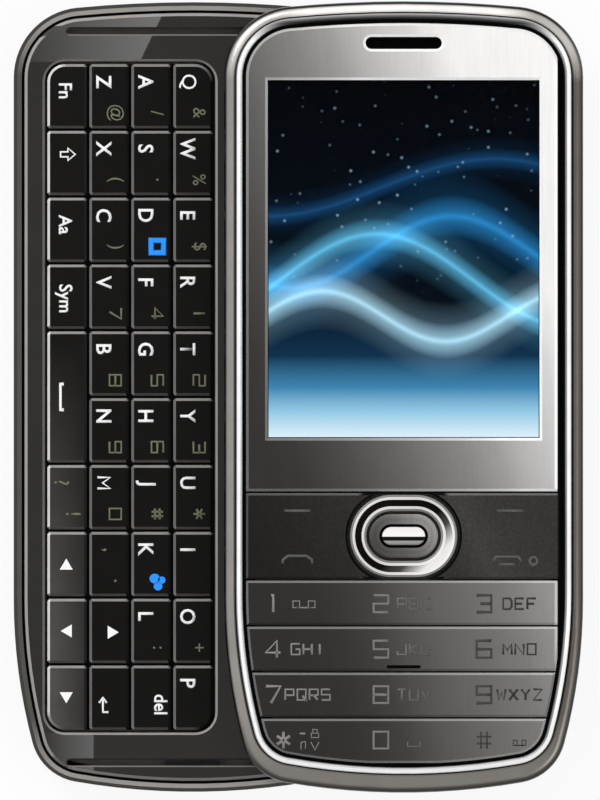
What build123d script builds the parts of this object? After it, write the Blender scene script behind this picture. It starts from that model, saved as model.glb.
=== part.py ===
from build123d import *
import os

# A phone whose display half slides sideways off a keyboard half. Millimetres, drawn open.
# The origin is the middle of the back, +Z leaves the front, +Y points to the earpiece
# and +X is the way the display half opens.

# Letter keys, named column by column from the outer flank, each from the earpiece end down.
# A name that repeats is one key that spans those rows.
key_columns = (
    ("function", "shift", "case", "symbol", "space", "space", "question", "up", "left", "down"),
    ("z", "x", "c", "v", "b", "n", "m", "comma", "right", "enter"),
    ("a", "s", "d", "f", "g", "h", "j", "k", "l", "delete"),
    ("q", "w", "e", "r", "t", "y", "u", "i", "o", "p"),
)
key_pitch_x = 5.74
key_pitch_y = 9.14
key_gap = 0.35
key_height = 1.35
key_corner = 0.3
key_bevel = 0.35
key_travel = 0.3
key_sink = 0.1
travel_clearance = 0.05

# Keyboard recess in the deck
recess_margin = 0.2
recess_corner_radius = 2.8
recess_bevel = 0.3
keyboard_margin = 4.24
keyboard_end_margin = 8.1
deck_strip = 1.2
slide_overlap = 20.2

# Front face, from the earpiece end down
window_width = 37.1
window_length = 48.83
fascia_side = 2.95
display_top_margin = 7.76
display_bottom_margin = 7.4
control_band_length = 11.94
number_row_pitch = 6.28
number_row_count = 4
number_columns = 3
number_column_pitch = 13.0
switch_row_share = 0.36
panel_inset = 3.0
panel_chin_rise = 0.95

# Outline shared by both halves
top_crown = 1.8
top_corner_radius = 9.6
chin_crown = 2.3
chin_taper = 3.9
chin_length = 26.3
chin_corner_radius = 7.3

# Back shell
rim_width = 1.1
rim_gap = 0.4
rim_drop = 0.4
rim_bevel = 0.5
back_edge_radius = 3.0
ledge_width = 1.0
floor_thickness = 0.8
bay_wall = 0.8
boss_radius = 1.3

# Battery and its cover
battery_width = 36.0
battery_length = 52.0
battery_thickness = 3.9
battery_corner_radius = 1.0
battery_centre_y = -6.0
battery_clearance = 0.2
contact_width = 2.0
contact_depth = 0.4
contact_pitch = 3.2
contact_count = 3
cover_width = 40.0
cover_thickness = 1.2
cover_undercut = 0.4
cover_clearance = 0.12
cover_top_y = 26.0
grip_count = 5
grip_pitch = 1.7
grip_length = 14.0
grip_width = 0.8
grip_depth = 0.35
grip_centre_y = -36.0

# Camera, loudspeaker and port in the back shell
camera_y = 39.5
camera_radius = 3.2
camera_clearance = 0.25
camera_set_back = 0.7
camera_dish_radius = 4.6
camera_dish_depth = 0.3
speaker_x = 12.0
speaker_y = 38.5
speaker_slot_count = 5
speaker_slot_pitch = 1.7
speaker_slot_length = 7.5
speaker_slot_width = 0.9
speaker_width = 10.0
speaker_length = 9.5
speaker_height = 2.6
port_width = 7.6
port_height = 2.6
port_clearance = 0.2
port_set_back = 1.2
port_board_lap = 5.0

# Boards and mat
board_gap = 0.1
board_thickness = 0.8
board_side_gap = 0.5
shield_width = 11.0
shield_length = 15.0
shield_height = 1.8
shield_x = -12.5
shield_y = 36.5
card_width = 15.0
card_length = 9.0
card_height = 1.7
card_x = 10.5
card_y = -39.5
mat_thickness = 0.3
mat_pad_height = 0.2
mat_pad_margin = 1.1
deck_clearance = 0.1
deck_bevel = 0.4

# Slide: hooked feet of the moving plate run in two slots of the deck
slide_gap = 0.3
plate_thickness = 0.5
plate_inset = 5.4
plate_tab_lap = 3.0
runner_length = 5.0
runner_reach = 1.1
runner_clearance = 0.15
slot_clearance = 0.15
slot_end_clearance = 0.3
slot_edge_margin = 4.0
slot_bevel = 0.2
slot_bevel_angle = 45
plate_window_width = 3.0
plate_window_length = 22.0

# Case screws
screw_radius = 0.7
screw_head_radius = 1.25
screw_head_height = 0.6
screw_clearance = 0.03
screw_bite = 1.0
screw_x = 12.0

# Display half
back_inset = 1.0
back_edge_bevel = 0.3
flange_thickness = 0.6
floor_upper = 0.6
chassis_clearance = 0.15
platform_clearance = 0.3
platform_thickness = 1.0
platform_wall = 1.2
dome_radius = 1.3
dome_sides = 8
dome_height = 0.25
display_thickness = 3.0
display_border = 1.2
display_driver_ledge = 3.0
window_gap = 0.15
window_flange = 0.25
window_flange_width = 0.8
window_clearance = 0.1
window_recess = 0.2
fascia_thickness = 1.3
fascia_bevel = 0.35
earpiece_length = 10.4
earpiece_width = 1.65
earpiece_drop = 2.7
earpiece_capsule_length = 12.0
earpiece_capsule_width = 3.0
earpiece_capsule_clearance = 0.4

# Bezel ring
bezel_width = 2.55
bezel_rise = 0.4
bezel_flank_width = 1.3
bezel_flank_drop = 0.15
bezel_flank_radius = 1.2
bezel_foot_bevel = 0.4
bezel_groove_width = 0.15
bezel_groove_depth = 0.4
bezel_ridge_bevel = 0.35
shelf_width = 1.5
shelf_thickness = 1.0

# Front keys
front_key_gap = 0.25
front_key_rise = 0.1
front_key_bevel = 0.3
nav_span = 3.4
nav_ring_height = 11.2
nav_ring_wall = 2.2
nav_gap = 0.4
nav_ring_rise = 0.4
nav_bevel = 0.3
nav_bead_width = 0.65
nav_channel_depth = 0.3
ok_height = 5.95
ok_rise = 0.15
ok_bevel = 0.2
ok_bead_width = 0.6
ok_groove_width = 0.3
ok_groove_depth = 0.2
emblem_height = 2.45
emblem_rise = 0.2
emblem_bevel = 0.12
emblem_moat_width = 0.4
emblem_moat_depth = 0.25

cut_overrun = 1.0

# Plan sizes that follow
row_count = len(key_columns[0])
block_width = len(key_columns) * key_pitch_x
block_length = row_count * key_pitch_y
recess_width = block_width + 2 * recess_margin
recess_length = block_length + 2 * recess_margin
slide_travel = keyboard_margin + recess_width + deck_strip
front_width = window_width + 2 * (fascia_side + panel_inset)
number_pad_length = number_row_count * number_row_pitch
display_field_length = display_top_margin + window_length + display_bottom_margin
key_field_length = control_band_length + number_pad_length + panel_chin_rise
front_length = 2 * panel_inset + display_field_length + key_field_length
body_width = max(slide_travel + slide_overlap, front_width)
body_length = max(recess_length + 2 * keyboard_end_margin, front_length)
half_width = body_width / 2
half_length = body_length / 2
recess_x = keyboard_margin + recess_width / 2 - half_width
panel_end = half_length - panel_inset
number_pad_top = number_pad_length + panel_chin_rise - panel_end
band_y = number_pad_top + control_band_length / 2
fascia_end = number_pad_top + control_band_length
window_y = panel_end - display_top_margin - window_length / 2
earpiece_y = panel_end - earpiece_drop
deck_inset = rim_width + rim_gap
slot_y = half_length - slot_edge_margin
slot_width = plate_thickness + 2 * slot_clearance
runner_x = -slide_travel / 2
slot_length = slide_travel + runner_length + 2 * slot_end_clearance
screw_y = slot_y - plate_thickness / 2 - runner_reach - runner_clearance - boss_radius
bay_width = battery_width + 2 * battery_clearance
bay_length = battery_length + 2 * battery_clearance
shelf_inset = bezel_width + shelf_width
board_inset = deck_inset + ledge_width + board_side_gap

# Heights that follow, from the back up
cover_seat = cover_thickness + cover_clearance
floor_top = cover_seat + floor_thickness
battery_top = cover_seat + battery_thickness
board_bottom = battery_top + board_gap
board_top = board_bottom + board_thickness
mat_top = board_top + mat_thickness
key_bottom = mat_top + mat_pad_height + key_travel + travel_clearance
key_top = key_bottom + key_height
deck_top = key_top + key_sink
deck_bottom = mat_top + deck_clearance
rim_top = deck_top - rim_drop
foot_top = deck_bottom - runner_clearance
slider_bottom = deck_top + slide_gap
flange_top = slider_bottom + flange_thickness
slider_floor = flange_top + floor_upper
display_top = slider_floor + display_thickness
window_bottom = display_top + window_gap
shelf_top = window_bottom + window_flange
platform_top = shelf_top - dome_height
fascia_top = shelf_top + fascia_thickness
window_top = fascia_top - window_recess
bezel_top = fascia_top + bezel_rise
front_key_bottom = shelf_top + key_travel + travel_clearance
front_key_top = fascia_top + front_key_rise


def prism(face, bottom, top):
    """Raise a flat face from one height to another."""
    return extrude(Pos(0, 0, bottom) * face, amount=top - bottom, dir=(0, 0, 1))


def block(size_x, size_y, x, y, bottom, top):
    """Upright block about a point in plan, between two heights."""
    return prism(Pos(x, y) * Rectangle(size_x, size_y), bottom, top)


def column(radius, x, y, bottom, top):
    """Upright round column about a point in plan, between two heights."""
    return prism(Pos(x, y) * Circle(radius), bottom, top)


def top_face(part):
    """Highest face of a part."""
    return part.faces().sort_by(Axis.Z)[-1]


def bottom_face(part):
    """Lowest face of a part."""
    return part.faces().sort_by(Axis.Z)[0]


def half_outline(inset=0, chin_rise=0):
    """Outline of either half: crowned ends, straight flanks and a tapered chin that may sit higher."""
    top_corner = half_length - top_crown
    chin_end = chin_rise - half_length
    flank_end = chin_end + chin_length
    chin_half = half_width - chin_taper
    chin_corner = chin_end + chin_crown
    right = Line((half_width, top_corner), (half_width, flank_end))
    right_taper = TangentArc((half_width, flank_end), (chin_half, chin_corner), tangent=(0, -1))
    left_taper = TangentArc((-half_width, flank_end), (-chin_half, chin_corner), tangent=(0, -1))
    left = Line((-half_width, flank_end), (-half_width, top_corner))
    crown = ThreePointArc((-half_width, top_corner), (0, half_length), (half_width, top_corner))
    chin = ThreePointArc((chin_half, chin_corner), (0, chin_end), (-chin_half, chin_corner))
    face = make_face([crown, right, right_taper, chin, left_taper, left])
    face = fillet(face.vertices().group_by(Axis.Y)[-1], top_corner_radius)
    face = fillet(face.vertices().group_by(Axis.Y)[0], chin_corner_radius)
    return offset(face, amount=-inset) if inset else face


def panel_outline(inset):
    """Outline of the front panel, which leaves a broader bezel at the chin."""
    return half_outline(inset, panel_chin_rise)


def outline_band(inset, bottom_y, top_y):
    """Part of an inset panel outline between two places along the phone."""
    strip = Rectangle(body_width, top_y - bottom_y)
    return panel_outline(inset) & (Pos(0, (top_y + bottom_y) / 2) * strip)


def nav_slot(height):
    """Round-ended outline of the direction pad, at a given height across."""
    return Pos(0, band_y) * SlotCenterToCenter(nav_span, height)


def end_pairs(x, y):
    """Four places, mirrored about both middle lines."""
    return [(side * x, end * y) for side in (-1, 1) for end in (-1, 1)]


def cover_prism(clearance):
    """Dovetailed slab that the battery cover is cut from, open at the chin."""
    lower = cover_width / 2 + clearance
    upper = lower + cover_undercut
    height = cover_thickness + clearance
    section = make_face(Polyline((-lower, 0), (lower, 0), (upper, height), (-upper, height), close=True))
    length = cover_top_y + clearance + half_length + cut_overrun
    return Pos(0, cover_top_y + clearance) * extrude(Plane.XZ * section, amount=length)


def base_block():
    """Whole outer form of the keyboard half below its rim."""
    form = prism(half_outline(), 0, rim_top)
    form = fillet(bottom_face(form).edges(), back_edge_radius)
    return chamfer(top_face(form).edges(), rim_bevel)


def rear_housing(form):
    """Back shell: rim, deck ledge, battery bay, screw bosses and the openings of the back."""
    wall_inset = deck_inset - rim_gap
    ledge_inset = deck_inset + ledge_width
    shell = form - prism(half_outline(wall_inset), deck_bottom, rim_top + cut_overrun)
    shell -= prism(half_outline(ledge_inset), floor_top, deck_bottom + cut_overrun)
    bay_outer = 2 * bay_wall
    bay_x, bay_y = bay_width + bay_outer, bay_length + bay_outer
    shell += block(bay_x, bay_y, 0, battery_centre_y, floor_top, board_bottom)
    for x, y in end_pairs(screw_x, screw_y):
        shell += column(boss_radius, x, y, floor_top, deck_bottom)
    shell -= cover_prism(cover_clearance)
    shell -= block(bay_width, bay_length, 0, battery_centre_y, 0, board_bottom + cut_overrun)
    for end in (-1, 1):
        runner_room = slot_width + 2 * runner_reach
        room_top = deck_bottom + cut_overrun
        room_bottom = foot_top - plate_thickness - runner_clearance
        shell -= block(slot_length, runner_room, 0, end * slot_y, room_bottom, room_top)
    for x, y in end_pairs(screw_x, screw_y):
        head_seat = screw_head_seat(y)
        shell -= column(screw_radius + screw_clearance, x, y, 0, deck_bottom + cut_overrun)
        shell -= column(screw_head_radius + screw_clearance, x, y, 0, head_seat + screw_clearance)
    shell -= column(camera_radius + camera_clearance, 0, camera_y, 0, floor_top + cut_overrun)
    shell -= column(camera_dish_radius, 0, camera_y, 0, camera_dish_depth)
    for row in range(speaker_slot_count):
        y = speaker_y + (row - (speaker_slot_count - 1) / 2) * speaker_slot_pitch
        shell -= block(speaker_slot_length, speaker_slot_width, speaker_x, y, 0, floor_top + cut_overrun)
    port_top = board_bottom + port_clearance
    port_bottom = board_bottom - port_height - port_clearance
    port_cut = port_width + 2 * port_clearance
    wall_cut = chin_crown + 2 * ledge_inset
    shell -= block(port_cut, wall_cut, 0, -half_length, port_bottom, port_top)
    return shell


def screw_head_seat(y):
    """Height on which a case screw's head bears: deeper under the battery cover."""
    sunk = cover_seat if y < cover_top_y else 0
    return sunk + screw_head_height


def case_screws():
    """Four screws from the back shell into the deck."""
    screws = []
    for x, y in end_pairs(screw_x, screw_y):
        head_top = screw_head_seat(y)
        shank = column(screw_radius, x, y, head_top, deck_bottom + screw_bite)
        screws.append(shank + column(screw_head_radius, x, y, head_top - screw_head_height, head_top))
    return Compound(screws)


def battery_cover(form):
    """Sliding cover, cut from the same outer form as the shell, with thumb grooves."""
    cover = form & cover_prism(0)
    for row in range(grip_count):
        y = grip_centre_y + (row - (grip_count - 1) / 2) * grip_pitch
        cover -= block(grip_length, grip_width, 0, y, 0, grip_depth)
    return cover


def battery():
    """Flat pack with its contacts sunk into the earpiece end."""
    outline = RectangleRounded(battery_width, battery_length, battery_corner_radius)
    pack = prism(Pos(0, battery_centre_y) * outline, cover_seat, battery_top)
    end_y = battery_centre_y + battery_length / 2
    for place in range(contact_count):
        x = (place - (contact_count - 1) / 2) * contact_pitch
        contact_foot = cover_seat + contact_width / 2
        pack -= block(contact_width, 2 * contact_depth, x, end_y, contact_foot, battery_top)
    return pack


def main_board():
    """Circuit board with the parts that hang from its underside."""
    board_end = screw_y - boss_radius - board_side_gap
    board = prism(outline_band(board_inset, -board_end, board_end), board_bottom, board_top)
    board += column(camera_radius, 0, camera_y, camera_set_back, board_bottom)
    port_front = half_length - port_set_back
    port_length = port_front - board_end + port_board_lap
    hung_parts = (
        (speaker_width, speaker_length, speaker_x, speaker_y, speaker_height),
        (shield_width, shield_length, shield_x, shield_y, shield_height),
        (card_width, card_length, card_x, card_y, card_height),
        (port_width, port_length, 0, port_length / 2 - port_front, port_height),
    )
    for width, length, x, y, height in hung_parts:
        board += block(width, length, x, y, board_bottom - height, board_bottom)
    return board


def key_cells():
    """Name, first row and row count of each letter key, with its column."""
    cells = []
    for column_number, names in enumerate(key_columns):
        for row, name in enumerate(names):
            if row == 0 or names[row - 1] != name:
                cells.append((name, column_number, row, names.count(name)))
    return cells


def key_face(column_number, row, span, margin):
    """Plan of one letter key, drawn in from its cell by a margin, in the keyboard's own frame."""
    centre_x = (column_number + 1 / 2) * key_pitch_x - block_width / 2
    centre_y = block_length / 2 - (row + span / 2) * key_pitch_y
    cell = Rectangle(key_pitch_x - 2 * margin, span * key_pitch_y - 2 * margin)
    return Pos(recess_x + centre_x, centre_y) * cell


def letter_key(column_number, row, span):
    """Keycap with a bevelled top; the outermost corners follow the recess."""
    edge = key_gap / 2
    cap = key_face(column_number, row, span, edge)
    outer_radius = recess_corner_radius - recess_margin - edge
    field = RectangleRounded(block_width - key_gap, block_length - key_gap, outer_radius)
    cap = chamfer(cap.vertices(), key_corner) & (Pos(recess_x, 0) * field)
    key = prism(cap, key_bottom, key_top)
    return chamfer(top_face(key).edges(), key_bevel)


def key_mat():
    """Rubber sheet on the board with one raised pad under each letter key."""
    sheet = Pos(recess_x, 0) * Rectangle(block_width, block_length - key_gap)
    mat = prism(sheet & half_outline(board_inset), board_top, mat_top)
    for _, column_number, row, span in key_cells():
        pad = key_face(column_number, row, span, mat_pad_margin)
        mat += prism(pad, mat_top, mat_top + mat_pad_height)
    return mat


def keyboard_deck():
    """Deck round the letter keys, with the guide slots of the slide and blind screw holes."""
    deck = prism(half_outline(deck_inset), deck_bottom, deck_top)
    deck = chamfer(top_face(deck).edges(), deck_bevel)
    recess = Pos(recess_x, 0) * RectangleRounded(recess_width, recess_length, recess_corner_radius)
    deck -= prism(recess, deck_bottom - cut_overrun, deck_top + cut_overrun)
    deck = chamfer(top_face(deck).inner_wires()[0].edges(), recess_bevel)
    for end in (-1, 1):
        guide = Pos(0, end * slot_y) * SlotOverall(slot_length, slot_width)
        deck -= prism(guide, deck_bottom - cut_overrun, deck_top + cut_overrun)
        mouth = Pos(0, 0, deck_top) * offset(guide, amount=slot_bevel)
        deck -= extrude(mouth, amount=slot_bevel, dir=(0, 0, -1), taper=slot_bevel_angle)
    for x, y in end_pairs(screw_x, screw_y):
        hole_top = deck_bottom + screw_bite + screw_clearance
        deck -= column(screw_radius + screw_clearance, x, y, deck_bottom - cut_overrun, hole_top)
    return deck


def slide_plate():
    """Stamped plate under the display half; a folded leg at each end hooks below the deck."""
    plate_top = slider_bottom + plate_thickness
    plate = prism(half_outline(plate_inset), slider_bottom, plate_top)
    for side in (-1, 1):
        window_x = side * half_width / 2
        plate -= block(plate_window_width, plate_window_length, window_x, 0, slider_bottom, plate_top)
    foot_bottom = foot_top - plate_thickness
    leg_outer = slot_y + plate_thickness / 2
    tab_length = plate_inset + plate_tab_lap
    foot_width = plate_thickness + runner_reach
    for end in (-1, 1):
        tab_y = end * (leg_outer - tab_length / 2)
        foot_y = end * (leg_outer - foot_width / 2)
        plate += block(runner_length, tab_length, runner_x, tab_y, slider_bottom, plate_top)
        plate += block(runner_length, plate_thickness, runner_x, end * slot_y, foot_bottom, plate_top)
        plate += block(runner_length, foot_width, runner_x, foot_y, foot_bottom, foot_top)
    return plate


def switch_places():
    """Places of the switch domes under the front keys."""
    columns = [(place - (number_columns - 1) / 2) * number_column_pitch for place in range(number_columns)]
    rows = [number_pad_top - (row + switch_row_share) * number_row_pitch for row in range(number_row_count)]
    places = [(x, y) for x in columns for y in rows]
    places += [(x, band_y) for x in columns]
    reach = (nav_ring_height - nav_ring_wall) / 2
    places += [(0, band_y - reach), (0, band_y + reach)]
    places += [(-reach - nav_span / 2, band_y), (reach + nav_span / 2, band_y)]
    return places


def slider_back():
    """Chassis of the display half, with a hollow platform under the front keys."""
    back = prism(half_outline(back_inset), slider_bottom, flange_top)
    back = chamfer(bottom_face(back).edges(), back_edge_bevel)
    floor_inset = bezel_width + chassis_clearance
    back += prism(panel_outline(floor_inset), flange_top, slider_floor)
    platform_inset = shelf_inset + platform_clearance
    platform_end = fascia_end - front_key_gap
    cavity_top = platform_top - platform_thickness
    back += prism(outline_band(platform_inset, -half_length, platform_end), slider_floor, platform_top)
    cavity = outline_band(platform_inset + platform_wall, -half_length, platform_end)
    back -= prism(cavity, slider_floor, cavity_top)
    for x, y in switch_places():
        back += prism(Pos(x, y) * RegularPolygon(dome_radius, dome_sides), platform_top, shelf_top)
    pocket_top = slider_bottom + plate_thickness + chassis_clearance / 2
    pocket_side = 2 * chassis_clearance
    back -= prism(half_outline(plate_inset - chassis_clearance), slider_bottom, pocket_top)
    tab_length = plate_inset + plate_tab_lap
    for end in (-1, 1):
        tab_y = end * (slot_y + plate_thickness / 2 - tab_length / 2)
        width = runner_length + pocket_side
        back -= block(width, tab_length + pocket_side, runner_x, tab_y, slider_bottom, pocket_top)
    return back


def ring(outer_inset, inner_inset, bottom, top):
    """Closed ring between two insets of the panel outline."""
    return prism(panel_outline(outer_inset), bottom, top) - prism(panel_outline(inner_inset), bottom, top)


def bezel():
    """Chromed ring: rounded flank, fine groove, bevelled inner ridge and the shelf behind."""
    flank_top = bezel_top - bezel_flank_drop
    frame = prism(half_outline(), flange_top, flank_top)
    frame = fillet(top_face(frame).edges(), bezel_flank_radius)
    frame = chamfer(bottom_face(frame).edges(), bezel_foot_bevel)
    ridge_inset = bezel_flank_width + bezel_groove_width
    groove_bottom = bezel_top - bezel_groove_depth
    frame -= prism(panel_outline(bezel_flank_width), groove_bottom, bezel_top)
    frame -= prism(panel_outline(bezel_width), flange_top, bezel_top)
    ridge = ring(ridge_inset, bezel_width, shelf_top, bezel_top)
    frame += chamfer(top_face(ridge).edges(), bezel_ridge_bevel)
    return frame + ring(bezel_width, shelf_inset, shelf_top - shelf_thickness, shelf_top)


def fascia():
    """Front plate above the control band, with the display opening and the earpiece slot."""
    plan = outline_band(panel_inset, fascia_end + front_key_gap / 2, half_length)
    plan -= Pos(0, window_y) * Rectangle(window_width, window_length)
    plan -= Pos(0, earpiece_y) * SlotOverall(earpiece_length, earpiece_width)
    plate = prism(plan, shelf_top, fascia_top)
    return chamfer(top_face(plate).edges(), fascia_bevel)


def display_window():
    """Clear window with a thin flange that seats behind the fascia."""
    gap = 2 * window_clearance
    flange = 2 * window_flange_width
    pane = block(window_width - gap, window_length - gap, 0, window_y, window_bottom, window_top)
    seat = block(window_width + flange, window_length + flange, 0, window_y, window_bottom, shelf_top)
    return pane + seat


def display_module():
    """Display panel with its driver ledge, and the earpiece capsule beside it."""
    width = window_width + 2 * display_border
    length = window_length + display_border + display_driver_ledge
    y = window_y + (display_border - display_driver_ledge) / 2
    panel = block(width, length, 0, y, slider_floor, display_top)
    capsule_end = half_length - shelf_inset - earpiece_capsule_clearance
    capsule_y = capsule_end - earpiece_capsule_width / 2
    capsule_plan = Pos(0, capsule_y) * SlotOverall(earpiece_capsule_length, earpiece_capsule_width)
    capsule = prism(capsule_plan, slider_floor, window_bottom)
    return Compound([panel, capsule])


def front_key(plan):
    """Front key plate over its switches, with a fine bevel round the top."""
    plate = prism(plan, front_key_bottom, front_key_top)
    return chamfer(top_face(plate).edges(), front_key_bevel)


def number_row(row):
    """One-piece bar that carries a row of number keys."""
    top_y = number_pad_top - row * number_row_pitch
    bottom_y = top_y - number_row_pitch
    return front_key(outline_band(panel_inset, bottom_y + front_key_gap / 2, top_y - front_key_gap / 2))


def control_key(side):
    """Plate of the control band on one side of the direction pad."""
    inner_edge = nav_span / 2
    plan = outline_band(panel_inset, number_pad_top + front_key_gap / 2, fascia_end - front_key_gap / 2)
    plan &= Pos(side * (inner_edge + half_width / 2), band_y) * Rectangle(half_width, body_length)
    return front_key(plan - nav_slot(nav_ring_height + 2 * nav_gap))


def nav_ring():
    """Direction ring with a bevelled bead on each side of a shallow channel."""
    ring_top = fascia_top + nav_ring_rise
    inner_height = nav_ring_height - 2 * nav_ring_wall
    form = prism(nav_slot(nav_ring_height) - nav_slot(inner_height), front_key_bottom, ring_top)
    form = chamfer(top_face(form).edges(), nav_bevel)
    channel = nav_slot(nav_ring_height - 2 * nav_bead_width) - nav_slot(inner_height + 2 * nav_bead_width)
    return form - prism(channel, ring_top - nav_channel_depth, ring_top)


def ok_button():
    """Middle button with a fine groove and a plain raised pill in a sunk field."""
    button_top = fascia_top + ok_rise
    cap = prism(nav_slot(ok_height), front_key_bottom, button_top)
    cap = chamfer(top_face(cap).edges(), ok_bevel)
    groove_height = ok_height - 2 * ok_bead_width
    groove = nav_slot(groove_height) - nav_slot(groove_height - 2 * ok_groove_width)
    cap -= prism(groove, button_top - ok_groove_depth, button_top)
    moat_bottom = button_top - emblem_moat_depth
    cap -= prism(nav_slot(emblem_height + 2 * emblem_moat_width), moat_bottom, button_top)
    pill = prism(nav_slot(emblem_height), moat_bottom, button_top + emblem_rise)
    return cap + chamfer(top_face(pill).edges(), emblem_bevel)


def base_nodes():
    """Pieces of the keyboard half by node name."""
    form = base_block()
    nodes = {
        "rear_housing": rear_housing(form),
        "battery_cover": battery_cover(form),
        "battery": battery(),
        "main_board": main_board(),
        "key_mat": key_mat(),
        "keyboard_deck": keyboard_deck(),
        "case_screws": case_screws(),
    }
    for name, column_number, row, span in key_cells():
        nodes["key_" + name] = letter_key(column_number, row, span)
    return nodes


def slider_nodes():
    """Pieces of the display half by node name, moved to the open place."""
    nodes = {
        "slide_plate": slide_plate(),
        "slider_back": slider_back(),
        "bezel": bezel(),
        "fascia": fascia(),
        "display_window": display_window(),
        "display_module": display_module(),
        "call_key": control_key(-1),
        "end_key": control_key(1),
        "nav_ring": nav_ring(),
        "ok_button": ok_button(),
    }
    for row in range(number_row_count):
        nodes["number_row_" + str(row + 1)] = number_row(row)
    return {name: Pos(slide_travel, 0) * shape for name, shape in nodes.items()}


os.makedirs("parts", exist_ok=True)
for node, shape in {**base_nodes(), **slider_nodes()}.items():
    export_step(shape, "parts/" + node + ".step")
print("half", round(body_width, 3), round(body_length, 3), "thick", round(bezel_top, 3))
print("slide travel", round(slide_travel, 3))
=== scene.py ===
import logging
import math
from collections.abc import Callable, Iterator
from contextlib import contextmanager
from dataclasses import dataclass, field, replace
from enum import Enum

import bpy
from mathutils import Matrix, Vector
from mathutils.bvhtree import BVHTree


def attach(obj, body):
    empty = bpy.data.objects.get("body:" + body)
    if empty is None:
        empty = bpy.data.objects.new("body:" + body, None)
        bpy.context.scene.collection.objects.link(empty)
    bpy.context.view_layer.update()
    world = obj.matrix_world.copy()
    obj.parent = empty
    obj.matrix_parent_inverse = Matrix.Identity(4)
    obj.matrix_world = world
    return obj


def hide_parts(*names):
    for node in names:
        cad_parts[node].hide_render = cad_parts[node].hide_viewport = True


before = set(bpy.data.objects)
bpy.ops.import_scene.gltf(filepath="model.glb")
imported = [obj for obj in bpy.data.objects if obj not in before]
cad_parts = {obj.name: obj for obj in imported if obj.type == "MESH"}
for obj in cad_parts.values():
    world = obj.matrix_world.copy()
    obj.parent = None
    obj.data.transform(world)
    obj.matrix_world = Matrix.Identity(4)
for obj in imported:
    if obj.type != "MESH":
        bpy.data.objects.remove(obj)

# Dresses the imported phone, whose display half slides sideways off a keyboard half.
# Sizes are in millimetres until a mesh is made; meshes and lamps are in metres.

LOG = logging.getLogger("phone")
MM = 0.001
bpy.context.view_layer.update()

Colour = tuple[float, float, float]
Point = tuple[float, float, float]
Spot = tuple[float, float]
Stops = tuple[Spot, ...]
Strokes = tuple[tuple[Spot, ...], ...]
Piece = bpy.types.Object
Face = bpy.types.MeshPolygon
Socket = bpy.types.NodeSocket

BLACK: Colour = (0.0, 0.0, 0.0)
WHITE: Colour = (1.0, 1.0, 1.0)
UP: Point = (0.0, 0.0, 1.0)
# A face is level where more than this share of its normal points up.
LEVEL = 0.9


class Half(Enum):
    """Bodies that carry the pieces which don't move on their own."""

    KEYBOARD = "keyboard_half"
    DISPLAY = "display_half"
    COVER = "battery_cover"


def tone(red: float, green: float, blue: float) -> Colour:
    """Turn a display colour into a shader colour.

    Args:
        red: Level on the display scale of 0 to 255.
        green: Level on the same scale.
        blue: Level on the same scale.

    Returns:
        The colour in linear light.
    """
    def linear(level: float) -> float:
        """Undo the display curve of one level."""
        share = level / 255
        return share / 12.92 if share <= 0.04045 else ((share + 0.055) / 1.055) ** 2.4

    return linear(red), linear(green), linear(blue)


def grey(level: float, warmth: float = 0.0) -> Colour:
    """Neutral display level as a shader colour.

    Args:
        level: Level on the display scale of 0 to 255.
        warmth: Levels taken from blue, and half of them from green.

    Returns:
        The colour in linear light.
    """
    return tone(level, level - warmth / 2, level - warmth)


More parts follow.
